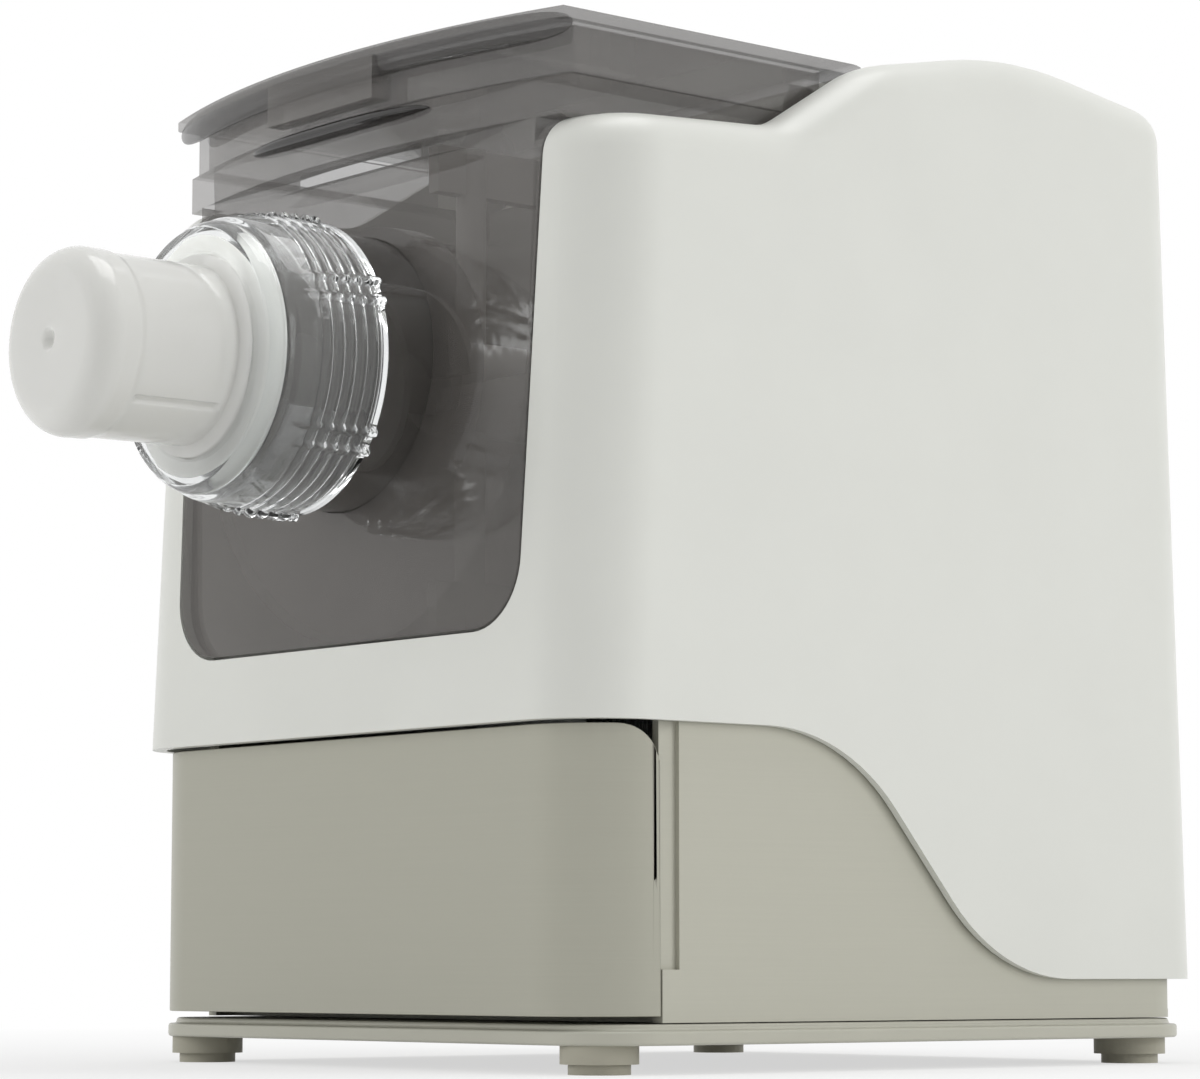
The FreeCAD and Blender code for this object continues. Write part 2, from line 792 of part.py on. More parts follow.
def make_liner():
    """The bay liner: a U-shaped channel with a back wall and side ledges."""
    front, rear = -d.liner_front, -d.bay_rear
    ledge_top = d.recess_low - d.wall - d.gap * 3
    hull = window_prism("LinerHull", -(d.wall + d.gap), front, rear, ledge_top)
    room = window_prism("LinerRoom", -d.gap, front - d.wall, rear - d.wall, d.recess_low + d.wall)
    hole = rod_y("LinerShaftHole", d.shaft_radius + d.fit, 0.0, d.axis_height,
                 rear - d.wall * 2, rear + d.wall)
    bosses = []
    for x in (-d.post_across, d.post_across):
        for z in (d.axis_height - d.trough_radius / 2, d.axis_height + d.post_across):
            bosses.append(rod_y("LinerBoss", d.post_radius, x, z, rear, d.plate_one))
    ledges = []
    for side in (-1, 1):
        near = d.window_half_top
        x0, x1 = sorted((near * side, d.ledge_half * side), key=lambda s: s.value)
        ledges.append(box("LinerLedge", x0, x1, front + d.front_corner, rear,
                          ledge_top - d.wall, ledge_top))
    shelf = box("LinerShelf", -d.ledge_half, d.ledge_half, rear, d.recess_rear + d.wall,
                ledge_top - d.wall, ledge_top)
    body = fuse("LinerBody", hull, shelf, *ledges)
    carved = cut("LinerCarved", body, room)
    node(cut("Liner", fuse("LinerFull", carved, *bosses), hole, shell), "bay_liner")


def bin_outline(inset, high):
    """The trough's cross-section: a half round with straight sides above."""
    r = d.trough_radius - inset
    top = d.bin_half_top - inset
    return [
        (-r, d.axis_height, r), (size(0.0), d.axis_height - r, r),
        (r, d.axis_height), (top, high), (-top, high),
    ]


def bowed(half, corner, bow, rear, shrink=0.0, nose=0.0):
    """A plan outline with a bowed front edge."""
    half, corner, bow = half - shrink, corner - nose, bow - nose
    depth = (bow - corner).value
    radius = (half.value ** 2 + depth ** 2) / (2 * depth)
    ratio = size(radius / half.value)
    return [(-half, -corner, half * ratio), (half, -corner), (half, rear), (-half, rear)]


def make_bin():
    """The smoked mixing bin: trough, front plate, rim and hinge ears."""
    high = d.recess_low + d.gap
    front, rear = -d.bin_front, -d.bin_rear
    tub, _ = prism("BinTub", "XZ_Plane", [bin_outline(size(0.0), high)], size(rear) - front, rear)
    room, _ = prism("BinRoom", "XZ_Plane", [bin_outline(d.wall, d.rim_top + d.wall)],
                    size(rear) - front - d.wall * 2, rear - d.wall)
    far = -d.face_low - d.wall * 4
    plate_form = window_prism("BinPlateForm", d.shut_line, far, -d.barrel_rear, high)
    plate = common("BinPlate", shell, plate_form)
    plan = bowed(d.rim_half, d.rim_corner, d.rim_bow, rear - d.gap)
    rim, _ = prism("BinRim", "XY_Plane", [plan], d.rim_top - high, high)
    inner = bowed(d.bin_half_top, d.rim_corner, d.rim_bow, rear - d.wall, d.wall, d.wall * 3)
    rim_room, _ = prism("BinRimRoom", "XY_Plane", [inner], d.rim_top, high - d.wall)
    bore = rod_y("BinBore", d.barrel_collar + d.gap, 0.0, d.axis_height, far, -d.barrel_rear)
    journal = rod_y("BinJournal", d.journal_radius + d.fit, 0.0, d.axis_height,
                    rear - d.wall * 2, rear + d.wall)
    ears = []
    for side in (-1, 1):
        x0, x1 = sorted((d.ear_in * side, d.ear_out * side), key=lambda s: s.value)
        eye = rod("EarEye", d.ear_radius, x0, -d.pivot_back, d.pivot_height,
                  d.ear_out - d.ear_in, X_AXIS)
        post = box("EarPost", x0, x1, -d.pivot_back - d.ear_radius, -d.pivot_back,
                   d.rim_top - d.wall, d.pivot_height)
        bridge = box("EarBridge", x0, x1, -d.pivot_back - d.ear_radius, rear - d.gap,
                     high, d.rim_top)
        ears.append(fuse("Ear", eye, post, bridge))
    pins = rod("EarPinHole", d.pin_radius + d.fit, -d.lid_half, -d.pivot_back, d.pivot_height,
               d.lid_half * 2, X_AXIS)
    solid = fuse("BinSolid", tub, plate, rim)
    hollow = cut("BinHollow", solid, room, rim_room, bore, journal)
    eared = fuse("BinEared", hollow, *ears)
    node(cut("MixingBin", eared, pins), "mixing_bin")
    bar = box("PullBar", -d.pull_half, d.pull_half, -d.pull_reach, -d.rim_bow,
              d.pull_low, d.rim_top)
    rod_form = box("PullRoot", -d.pull_half, d.pull_half, -d.rim_bow - d.wall, -d.rim_bow + d.wall,
                   d.pull_low, d.rim_top)
    rim_solid, _ = prism("PullRimForm", "XY_Plane", [bowed(d.rim_half, d.rim_corner, d.rim_bow,
                                                          rear)], d.lid_top, 0.0)
    node(cut("PullHandle", fuse("PullBlock", bar, rod_form), rim_solid), "bin_pull_bar")


def make_barrel():
    """The extrusion barrel that carries the nut."""
    points = [
        (d.barrel_bore, -d.barrel_rear), (d.barrel_bore, -d.barrel_front),
        (d.barrel_thread, -d.barrel_front), (d.barrel_thread, -d.collar_front),
        (d.barrel_collar, -d.collar_front), (d.barrel_collar, -d.barrel_seat),
        (d.barrel_flange, -d.barrel_seat), (d.barrel_flange, -d.barrel_rear),
    ]
    body, _ = turned("Barrel", points, z=d.axis_height)
    node(body, "extrusion_barrel")


def make_nut():
    """The clear ring nut: ridged sleeve, domed front and six grip ribs."""
    bore = d.barrel_thread + d.fit
    lip = -d.nut_front + d.nut_lip
    low = d.nut_radius - d.ridge_depth
    ridges = [(d.nut_radius, -d.nut_rear), (d.nut_radius, -d.nut_rear - d.nut_flange)]
    along = -d.nut_rear - d.nut_flange
    step = d.ridge_depth / d.ridge_count
    for i in range(int(d.ridge_count.value)):
        valley, crest = low - step * i, low + d.ridge_depth / 2 - step * i
        ridges.append((valley, along))
        ridges.append((valley, along - d.ridge_pitch / 2))
        ridges.append((crest, along - d.ridge_pitch / 2))
        ridges.append((crest, along - d.ridge_pitch))
        along = along - d.ridge_pitch
    dome = low - d.ridge_depth
    points = [(bore, -d.nut_rear), *ridges, (dome, along), (dome, -d.dome_start, -d.nut_radius),
              (d.nut_rim, -d.nut_front), (d.nut_mouth, -d.nut_front), (d.nut_mouth, lip),
              (bore, lip)]
    body, _ = turned("NutSleeve", points, z=d.axis_height)
    ribs = []
    reach = d.nut_radius - d.rib_radius - d.gap
    start = -d.nut_rear - d.nut_flange / 2
    for i in range(int(d.rib_count.value)):
        turn = math.radians(FULL_TURN * i / d.rib_count.value + d.rib_turn.value)
        ribs.append(rod_y("NutRib", d.rib_radius, reach * math.sin(turn),
                          d.axis_height + reach * math.cos(turn), -d.dome_start - d.gap, start))
    node(fuse("RingNut", body, *ribs), "ring_nut")


def make_die():
    """The milky shaping die held by the nut."""
    back = -d.nut_front + d.nut_lip + d.gap
    root = d.die_root
    tip = -d.nose_reach
    waist = -d.nut_front - d.die_edge
    points = [
        (d.die_bore, back + d.die_flange_width), (d.die_bore, tip + d.die_edge / 2),
        (size(0.0), tip + d.die_edge / 2), (size(0.0), tip + d.dimple_radius / 2),
        (d.dimple_radius, tip), (d.die_tip - d.die_edge, tip, d.die_edge),
        (d.die_tip, tip + d.die_edge), (d.die_waist, waist), (root, -d.nut_front),
        (root, back), (d.die_flange, back), (d.die_flange, back + d.die_flange_width),
    ]
    body, _ = turned("DieBody", points, z=d.axis_height)
    slit = doc.addObject("Part::Box", "DieSlit")
    bind(slit, Length=d.die_root, Width=d.slit_length, Height=d.slit_width)
    turn = FreeCAD.Rotation(FreeCAD.Vector(0, 1, 0), -d.slit_angle.value)
    place(slit, 0.0, tip + d.die_edge, d.axis_height, turn)
    node(cut("ShapingDie", body, slit), "shaping_die")


def make_lid():
    """The smoked lid with its overhanging plate, skirt and hinge knuckles."""
    plate_low = d.lid_top - d.lid_plate
    back = -d.pivot_back
    plan = bowed(d.lid_half, d.lid_corner, d.lid_bow, back)
    plate, _ = prism("LidPlate", "XY_Plane", [plan], d.lid_plate, plate_low)
    outside = bowed(d.lid_half, d.lid_corner, d.lid_bow, -d.skirt_rear, d.lid_overhang, d.lid_nose)
    inside = bowed(d.lid_half, d.lid_corner, d.lid_bow, d.wall - d.skirt_rear,
                   d.lid_overhang + d.lid_wall, d.lid_nose + d.lid_wall)
    ring, _ = prism("LidSkirtOuter", "XY_Plane", [outside], plate_low - d.skirt_bottom,
                    d.skirt_bottom)
    hole, _ = prism("LidSkirtInner", "XY_Plane", [inside], d.lid_top, d.skirt_bottom - d.wall)
    skirt = cut("LidSkirt", ring, hole)
    reach = d.lid_top - d.pivot_height
    roll = rod("LidRoll", reach, -d.lid_half, back, d.pivot_height, d.lid_half * 2, X_AXIS)
    under = box("LidRollUnder", -d.lid_half * 2, d.lid_half * 2, back - d.lid_half,
                back + d.lid_half, d.skirt_bottom - d.lid_half, d.pivot_height)
    ahead = box("LidRollAhead", -d.lid_half * 2, d.lid_half * 2, back - d.lid_half,
                back, d.skirt_bottom - d.lid_half, d.lid_top + d.wall)
    core = rod("LidRollCore", reach - d.lid_plate, -d.lid_half * 2, back, d.pivot_height,
               d.lid_half * 4, X_AXIS)
    curl = cut("LidCurl", roll, under, ahead, core)
    knuckles = []
    for side in (-1, 1):
        x0 = (d.ear_out + d.gap) * side if side > 0 else -d.knuckle_out
        knuckles.append(rod("Knuckle", reach, x0, back, d.pivot_height,
                            d.knuckle_out - d.ear_out - d.gap, X_AXIS))
    pins = rod("LidPinHole", d.pin_radius + d.fit, -d.lid_half, back, d.pivot_height,
               d.lid_half * 2, X_AXIS)
    whole = fuse("LidWhole", plate, skirt, curl, *knuckles)
    node(cut("Lid", whole, pins), "lid")
    rods = []
    for side in (-1, 1):
        x0 = d.ear_in if side > 0 else -d.knuckle_out
        rods.append(rod("HingePin", d.pin_radius, x0, back, d.pivot_height,
                        d.knuckle_out - d.ear_in, X_AXIS))
    node(group("HingePins", *rods), "lid_hinge_pins")
    y = -d.lid_bow + d.lid_nose
    tab = box("LatchTab", -d.tab_half, d.tab_half, y - d.lid_nose, y - d.gap,
              d.tab_low, plate_low)
    skirt_form, _ = prism("LatchForm", "XY_Plane", [bowed(d.lid_half, d.lid_corner, d.lid_bow, back,
                                                         d.lid_overhang, d.lid_nose)],
                          d.lid_top, 0.0)
    node(cut("LatchBlock", tab, skirt_form), "lid_latch")


def gear_shape(teeth, width):
    """A straight-toothed gear of the common module, standing on Z = 0."""
    module = d.gear_module.value
    count = int(teeth.value)
    pitch_radius = module * count / 2
    tip = pitch_radius + module * d.tooth_rise.value
    root = pitch_radius - module * d.tooth_fall.value
    wide, slim = d.tooth_root_share.value, d.tooth_tip_share.value
    points = []
    for i in range(count):
        middle = 2 * math.pi * i / count
        half = math.pi / (2 * count) - d.backlash.value / (2 * pitch_radius)
        for radius, spread in ((root, wide), (tip, slim)):
            points.append((radius, middle - half * spread))
        for radius, spread in ((tip, slim), (root, wide)):
            points.append((radius, middle + half * spread))
    corners = [FreeCAD.Vector(r * math.cos(a), r * math.sin(a), 0) for r, a in points]
    face = Part.Face(Part.makePolygon(corners + corners[:1]))
    return face.extrude(FreeCAD.Vector(0, 0, width.value))


idler_height = d.axis_height - d.gear_module * (d.drive_teeth + d.pinion_teeth) / 2
motor_height = idler_height - d.gear_module * (d.idler_teeth + d.pinion_teeth) / 2


def gear(name, teeth, width, z, start, phase=0.0):
    """A gear about the Y axis whose front face is at start."""
    turn = Y_AXIS.multiply(FreeCAD.Rotation(FreeCAD.Vector(0, 0, 1), phase))
    return part_feature(name, gear_shape(teeth, width), 0.0, start + width, z, turn)


def make_drive():
    """Drive shaft, gears and motor rotor."""
    z = d.axis_height
    shaft = rod_y("ShaftBar", d.shaft_radius, 0.0, z, -d.bay_rear - d.wall, d.plate_two + d.plate_thick)
    tongue = doc.addObject("Part::Prism", "ShaftHex")
    tongue.Polygon = 6
    bind(tongue, Circumradius=d.hex_radius, Height=d.hex_front - d.bay_rear)
    place(tongue, 0.0, -d.bay_rear, z, Y_AXIS)
    node(fuse("DriveShaft", shaft, tongue), "drive_shaft")
    wheel = gear("DriveWheel", d.drive_teeth, d.slow_gear_width, z, d.slow_gear_at, -QUARTER_TURN)
    bore = rod_y("DriveWheelBore", d.shaft_radius, 0.0, z, -d.bay_rear, d.plate_two)
    node(cut("DriveGear", wheel, bore), "drive_gear")
    half_tooth = FULL_TURN / 2 / d.pinion_teeth.value
    small = gear("IdlerPinion", d.pinion_teeth, d.slow_gear_width + d.skin, idler_height,
                 d.slow_gear_at, QUARTER_TURN + half_tooth)
    large = gear("IdlerWheel", d.idler_teeth, d.fast_gear_width, idler_height, d.fast_gear_at, -QUARTER_TURN)
    sleeve = rod_y("IdlerSleeve", d.shaft_radius - d.skin, 0.0, idler_height,
                   d.slow_gear_at, d.fast_gear_at + d.fast_gear_width)
    bore = rod_y("IdlerBore", d.axle_radius, 0.0, idler_height, d.plate_one, d.plate_two)
    node(cut("IdlerGears", fuse("IdlerCluster", small, large, sleeve), bore), "idler_gears")
    node(rod_y("IdlerAxle", d.axle_radius, 0.0, idler_height, d.plate_one,
               d.plate_two + d.plate_thick), "idler_axle")
    pinion = gear("MotorPinion", d.pinion_teeth, d.fast_gear_width + d.skin, motor_height,
                  d.fast_gear_at - d.skin / 2, QUARTER_TURN + half_tooth)
    spindle = rod_y("MotorSpindle", d.axle_radius, 0.0, motor_height, d.plate_one,
                    d.fan_at + d.fan_width)
    node(fuse("MotorRotor", pinion, spindle), "motor_rotor")
    disc = rod_y("FanDisc", d.shaft_radius + d.wall, 0.0, motor_height, d.fan_at, d.fan_at + d.fan_width)
    blades = []
    for i in range(int(d.fan_blades.value)):
        blade = doc.addObject("Part::Box", "FanBlade")
        bind(blade, Length=d.fan_radius, Width=d.fan_width, Height=d.skin)
        turn = FreeCAD.Rotation(FreeCAD.Vector(0, 1, 0), FULL_TURN / d.fan_blades.value * i)
        place(blade, 0.0, d.fan_at, motor_height, turn)
        blades.append(blade)
    bore = rod_y("FanBore", d.axle_radius, 0.0, motor_height, d.fan_at - d.wall,
                 d.fan_at + d.fan_width + d.wall)
    node(cut("MotorFan", fuse("FanWheel", disc, *blades), bore), "motor_fan")


def make_gearbox():
    """Two gearbox plates with bushes, spacers, and the motor behind them."""
    shafts = ((d.axis_height, d.shaft_radius, "Drive"), (idler_height, d.axle_radius, "Idler"),
              (motor_height, d.axle_radius, "Motor"))
    bushes = []
    for start, label in ((d.plate_one, "front"), (d.plate_two, "rear")):
        plate = box("GearboxPlate", -d.gearbox_half, d.gearbox_half, start, start + d.plate_thick,
                    d.gearbox_low, d.gearbox_high)
        holes = []
        for z, radius, name in shafts:
            outer = radius + d.fit + d.bush_wall
            holes.append(rod_y(name + "Seat", outer, 0.0, z, start - d.wall,
                               start + d.plate_thick + d.wall))
            ring = rod_y(name + "BushOuter", outer, 0.0, z, start, start + d.plate_thick)
            bore = rod_y(name + "BushBore", radius + d.fit, 0.0, z, start - d.wall,
                         start + d.plate_thick + d.wall)
            bushes.append(cut(name + "Bush", ring, bore))
        node(cut("Gearbox" + label.title(), plate, *holes), f"gearbox_{label}_plate")
    node(group("Bushes", *bushes), "shaft_bushes")
    spacers = []
    for x in (-d.post_across, d.post_across):
        for z in (d.post_low, d.gearbox_high - d.post_radius * 2):
            spacers.append(rod_y("Spacer", d.post_radius, x, z, d.plate_one + d.plate_thick,
                                 d.plate_two))
    node(group("Spacers", *spacers), "gearbox_spacers")
    start = d.plate_two + d.plate_thick
    can = rod_y("MotorCan", d.motor_radius, 0.0, motor_height, start, d.motor_rear)
    bore = rod_y("MotorBore", d.axle_radius + d.fit, 0.0, motor_height, start - d.wall,
                 d.motor_rear + d.wall)
    node(cut("Motor", can, bore), "motor_body")


def make_agitator():
    """The auger with its helical flight, and the kneading paddle on its core."""
    z = d.axis_height
    height = d.flight_front - d.flight_rear
    helix = Part.makeHelix(d.flight_pitch.value, height.value, d.core_radius.value)
    inner, outer = d.core_radius.value - d.gap.value * 2, d.flight_radius.value
    half = d.flight_width.value / 2
    slim = half * d.flight_taper.value
    corners = [FreeCAD.Vector(inner, 0, -half), FreeCAD.Vector(outer, 0, -slim),
               FreeCAD.Vector(outer, 0, slim), FreeCAD.Vector(inner, 0, half)]
    profile = Part.makePolygon(corners + corners[:1])
    flight_shape = Part.Wire(helix).makePipeShell([profile], True, True)
    flight = part_feature("Flight", flight_shape, 0.0, -d.flight_rear, z, Y_AXIS)
    nose = d.flight_front + d.flight_width
    core = rod_y("AugerCore", d.core_radius, 0.0, z, -nose, -d.bin_rear - d.wall - d.gap)
    journal = rod_y("AugerJournal", d.journal_radius, 0.0, z, -d.hub_rear, -d.auger_rear)
    socket = doc.addObject("Part::Prism", "AugerSocket")
    socket.Polygon = 6
    bind(socket, Circumradius=d.hex_radius + d.socket_clear,
         Height=d.hex_front + d.gap * 2 - d.auger_rear + d.wall)
    place(socket, 0.0, -d.auger_rear + d.wall, z, Y_AXIS)
    node(cut("Auger", fuse("AugerBody", core, journal, flight), socket), "auger")
    hub = rod_y("PaddleHub", d.hub_radius, 0.0, z, -d.hub_front, -d.hub_rear)
    arms = []
    for sign in (-1, 1):
        spot = -d.hub_front + d.hub_radius if sign > 0 else -d.hub_rear - d.hub_radius
        arm = rod("PaddleArm", d.arm_radius, 0.0, spot, z, d.blade_out, UPRIGHT)
        low_arm = rod("PaddleArmLow", d.arm_radius, 0.0, spot, z - d.blade_out, d.blade_out, UPRIGHT)
        arms += [arm, low_arm]
    blades = []
    for sign in (-1, 1):
        z0, z1 = sorted((d.blade_in * sign, d.blade_out * sign), key=lambda s: s.value)
        blades.append(box("PaddleBlade", -d.blade_width / 2, d.blade_width / 2,
                          -d.hub_front, -d.hub_rear, z + z0, z + z1))
    bore = rod_y("PaddleBore", d.core_radius, 0.0, z, -d.hub_front - d.wall, -d.hub_rear + d.wall)
    node(cut("Paddle", fuse("PaddleBody", hub, *arms, *blades), bore), "kneading_paddle")


def make_controls():
    """Control panel in the hump: plate, lens, board and three push buttons."""
    low = d.pocket_floor + d.gap
    plate = box("PanelPlate", -d.pocket_half + d.gap, d.pocket_half - d.gap,
                d.pocket_front + d.gap, d.pocket_rear - d.gap, low, low + d.panel_thick)
    holes, buttons = [], []
    for i, label in ((-1, "power_button"), (0, "program_button"), (1, "start_button")):
        x = d.button_pitch * i
        holes.append(rod("ButtonHole", d.button_radius + d.gap, x, d.button_y, low - d.wall,
                         d.panel_thick + d.wall * 2, UPRIGHT))
        cap = rod("ButtonCap", d.button_radius, x, d.button_y, low, d.button_top - low, UPRIGHT)
        flange = rod("ButtonFlange", d.button_radius + d.skin, x, d.button_y,
                     low - d.gap - d.skin, d.skin, UPRIGHT)
        neck = rod("ButtonNeck", d.button_radius, x, d.button_y, low - d.gap, d.gap, UPRIGHT)
        switch_top = d.board_low + d.board_thick + d.button_radius
        stem_low = switch_top + d.button_travel + d.gap
        stem = rod("ButtonStem", d.skin, x, d.button_y, stem_low, low - stem_low, UPRIGHT)
        buttons.append((fuse("Button", cap, flange, neck, stem), label))
    lens_hole = box("LensHole", -d.lens_half, d.lens_half, d.lens_front, d.lens_rear,
                    low - d.wall, low + d.panel_thick + d.wall)
    node(cut("Panel", plate, lens_hole, *holes), "control_panel")
    for item, label in buttons:
        node(item, label)
    node(box("Lens", -d.lens_half + d.gap, d.lens_half - d.gap, d.lens_front + d.gap,
             d.lens_rear - d.gap, low, low + d.panel_thick), "display_lens")
    board_top = d.board_low + d.board_thick
    board = box("Board", -d.pocket_half + d.wall * 4, d.pocket_half - d.wall * 4,
                d.pocket_front + d.wall * 4, d.pocket_rear - d.wall, d.board_low, board_top)
    bits = []
    for i in (-1, 0, 1):
        bits.append(rod("Switch", d.button_radius / 2, d.button_pitch * i, d.button_y, board_top,
                        d.button_radius, UPRIGHT))
    for i in (-1, 1):
        bits.append(rod("BoardPost", d.wall, (d.pocket_half - d.wall * 7) * i,
                        d.pocket_rear - d.wall * 2, board_top,
                        d.pocket_floor - d.wall - board_top, UPRIGHT))
    node(fuse("ControlBoard", board, *bits), "control_board")


def make_inlet():
    """The two-pin power inlet low on the back."""
    x, z = d.inlet_across, d.inlet_height
    body = box("InletBlock", x - d.inlet_half_wide, x + d.inlet_half_wide, d.inlet_front,
               d.inlet_rear, z - d.inlet_half_high, z + d.inlet_half_high)
    room = box("InletRoom", x - d.inlet_half_wide + d.wall, x + d.inlet_half_wide - d.wall,
               d.inlet_rear - d.inlet_depth, d.inlet_rear + d.wall,
               z - d.inlet_half_high + d.wall, z + d.inlet_half_high - d.wall)
    node(cut("Inlet", body, room), "power_inlet")
    pins = []
    for side in (-1, 1):
        pins.append(rod_y("InletPin", d.contact_radius, x + d.pin_apart * side, z,
                          d.inlet_rear - d.inlet_depth, d.inlet_rear - d.wall))
    node(group("InletPins", *pins), "inlet_pins")


make_feet()
make_base_plate()
make_base_shell()
make_runners()
make_drawer()
make_housing()
make_rear_cover()
make_liner()
make_bin()
make_barrel()
make_nut()
make_die()
make_lid()
make_drive()
make_gearbox()
make_agitator()
make_controls()
make_inlet()
doc.recompute()

faults = [o.Name for o in doc.Objects if {"Invalid", "Error"} & set(o.State)]
faults += [n.Label for n in nodes if n.Shape.isNull() or not n.Shape.isValid()]
if faults:
    raise RuntimeError(f"objects that failed: {faults}")
for item in nodes:
    item.Shape.exportStep(f"parts/{item.Label}.step")
box_all = Part.makeCompound([n.Shape for n in nodes]).BoundBox
print(f"{len(nodes)} pieces, box {box_all}")
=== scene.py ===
"""Looks of the electric pasta maker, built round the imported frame.

Lengths are metres in the frame's own axes: +Z up, -Y out of the nozzle and
+X towards the side that the photograph shows.
"""

import json
import logging
import math
from dataclasses import dataclass
from enum import Enum
from typing import Sequence

import bmesh
import bpy
import numpy as np
from mathutils import Matrix, Vector

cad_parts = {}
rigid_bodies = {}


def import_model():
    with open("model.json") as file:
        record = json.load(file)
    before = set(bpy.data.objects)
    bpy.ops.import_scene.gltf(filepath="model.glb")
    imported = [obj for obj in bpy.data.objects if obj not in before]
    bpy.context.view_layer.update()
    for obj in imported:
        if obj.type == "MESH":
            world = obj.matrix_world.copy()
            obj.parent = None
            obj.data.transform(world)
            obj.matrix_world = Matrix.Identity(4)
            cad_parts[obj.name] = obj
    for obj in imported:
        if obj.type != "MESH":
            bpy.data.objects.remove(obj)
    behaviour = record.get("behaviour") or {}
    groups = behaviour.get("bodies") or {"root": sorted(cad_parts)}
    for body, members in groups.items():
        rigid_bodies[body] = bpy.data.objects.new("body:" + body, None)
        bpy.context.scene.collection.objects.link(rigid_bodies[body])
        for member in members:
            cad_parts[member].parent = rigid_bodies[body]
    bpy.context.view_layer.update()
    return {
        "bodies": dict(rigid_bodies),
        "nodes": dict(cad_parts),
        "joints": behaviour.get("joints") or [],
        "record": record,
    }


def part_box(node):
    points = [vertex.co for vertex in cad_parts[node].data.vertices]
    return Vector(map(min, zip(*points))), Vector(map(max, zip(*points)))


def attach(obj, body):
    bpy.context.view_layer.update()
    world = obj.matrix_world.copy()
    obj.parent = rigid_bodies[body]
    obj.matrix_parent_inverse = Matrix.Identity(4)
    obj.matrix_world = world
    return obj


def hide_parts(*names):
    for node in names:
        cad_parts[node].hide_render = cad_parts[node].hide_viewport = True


LOG = logging.getLogger("pasta_maker")
Array = np.ndarray
Colour = tuple[float, float, float]
Socket = bpy.types.NodeSocket
FULL_TURN = 2 * np.pi


class Sheen(Enum):
    """How polished a moulded plastic is, as roughness."""

    GLOSS = 0.16
    SATIN = 0.34
    MATTE = 0.55


class Body(Enum):
    """The frame's bodies that new pieces ride on."""

    BASE = "base"
    DRAWER = "drawer"
    BIN = "bin"
    LID = "lid"
    NUT = "nut"
    DIE = "die"


class Slot(Enum):
    """The record's material slot names, passed along with new pieces."""

    WHITE = "white_plastic"
    GREIGE = "greige_plastic"
    DRAWER = "drawer_plastic"
    SMOKED = "smoked_plastic"
    CLEAR = "clear_plastic"
    MILKY = "milky_plastic"


def linear(hex_code: str) -> Colour:
    """Turns a written sRGB colour into linear light.

    Args:
        hex_code: Six hexadecimal digits.

    Returns:
        Red, green and blue in linear light.
    """
    parts = np.array([int(hex_code[i:i + 2], 16) for i in (0, 2, 4)]) / 255.0
    low = parts / 12.92
    high = ((parts + 0.055) / 1.055) ** 2.4
    return tuple(float(v) for v in np.where(parts <= 0.04045, low, high))


def shade(colour: Colour, factor: float) -> Colour:
    """The colour made lighter or darker by factor."""
    return tuple(min(1.0, c * factor) for c in colour)


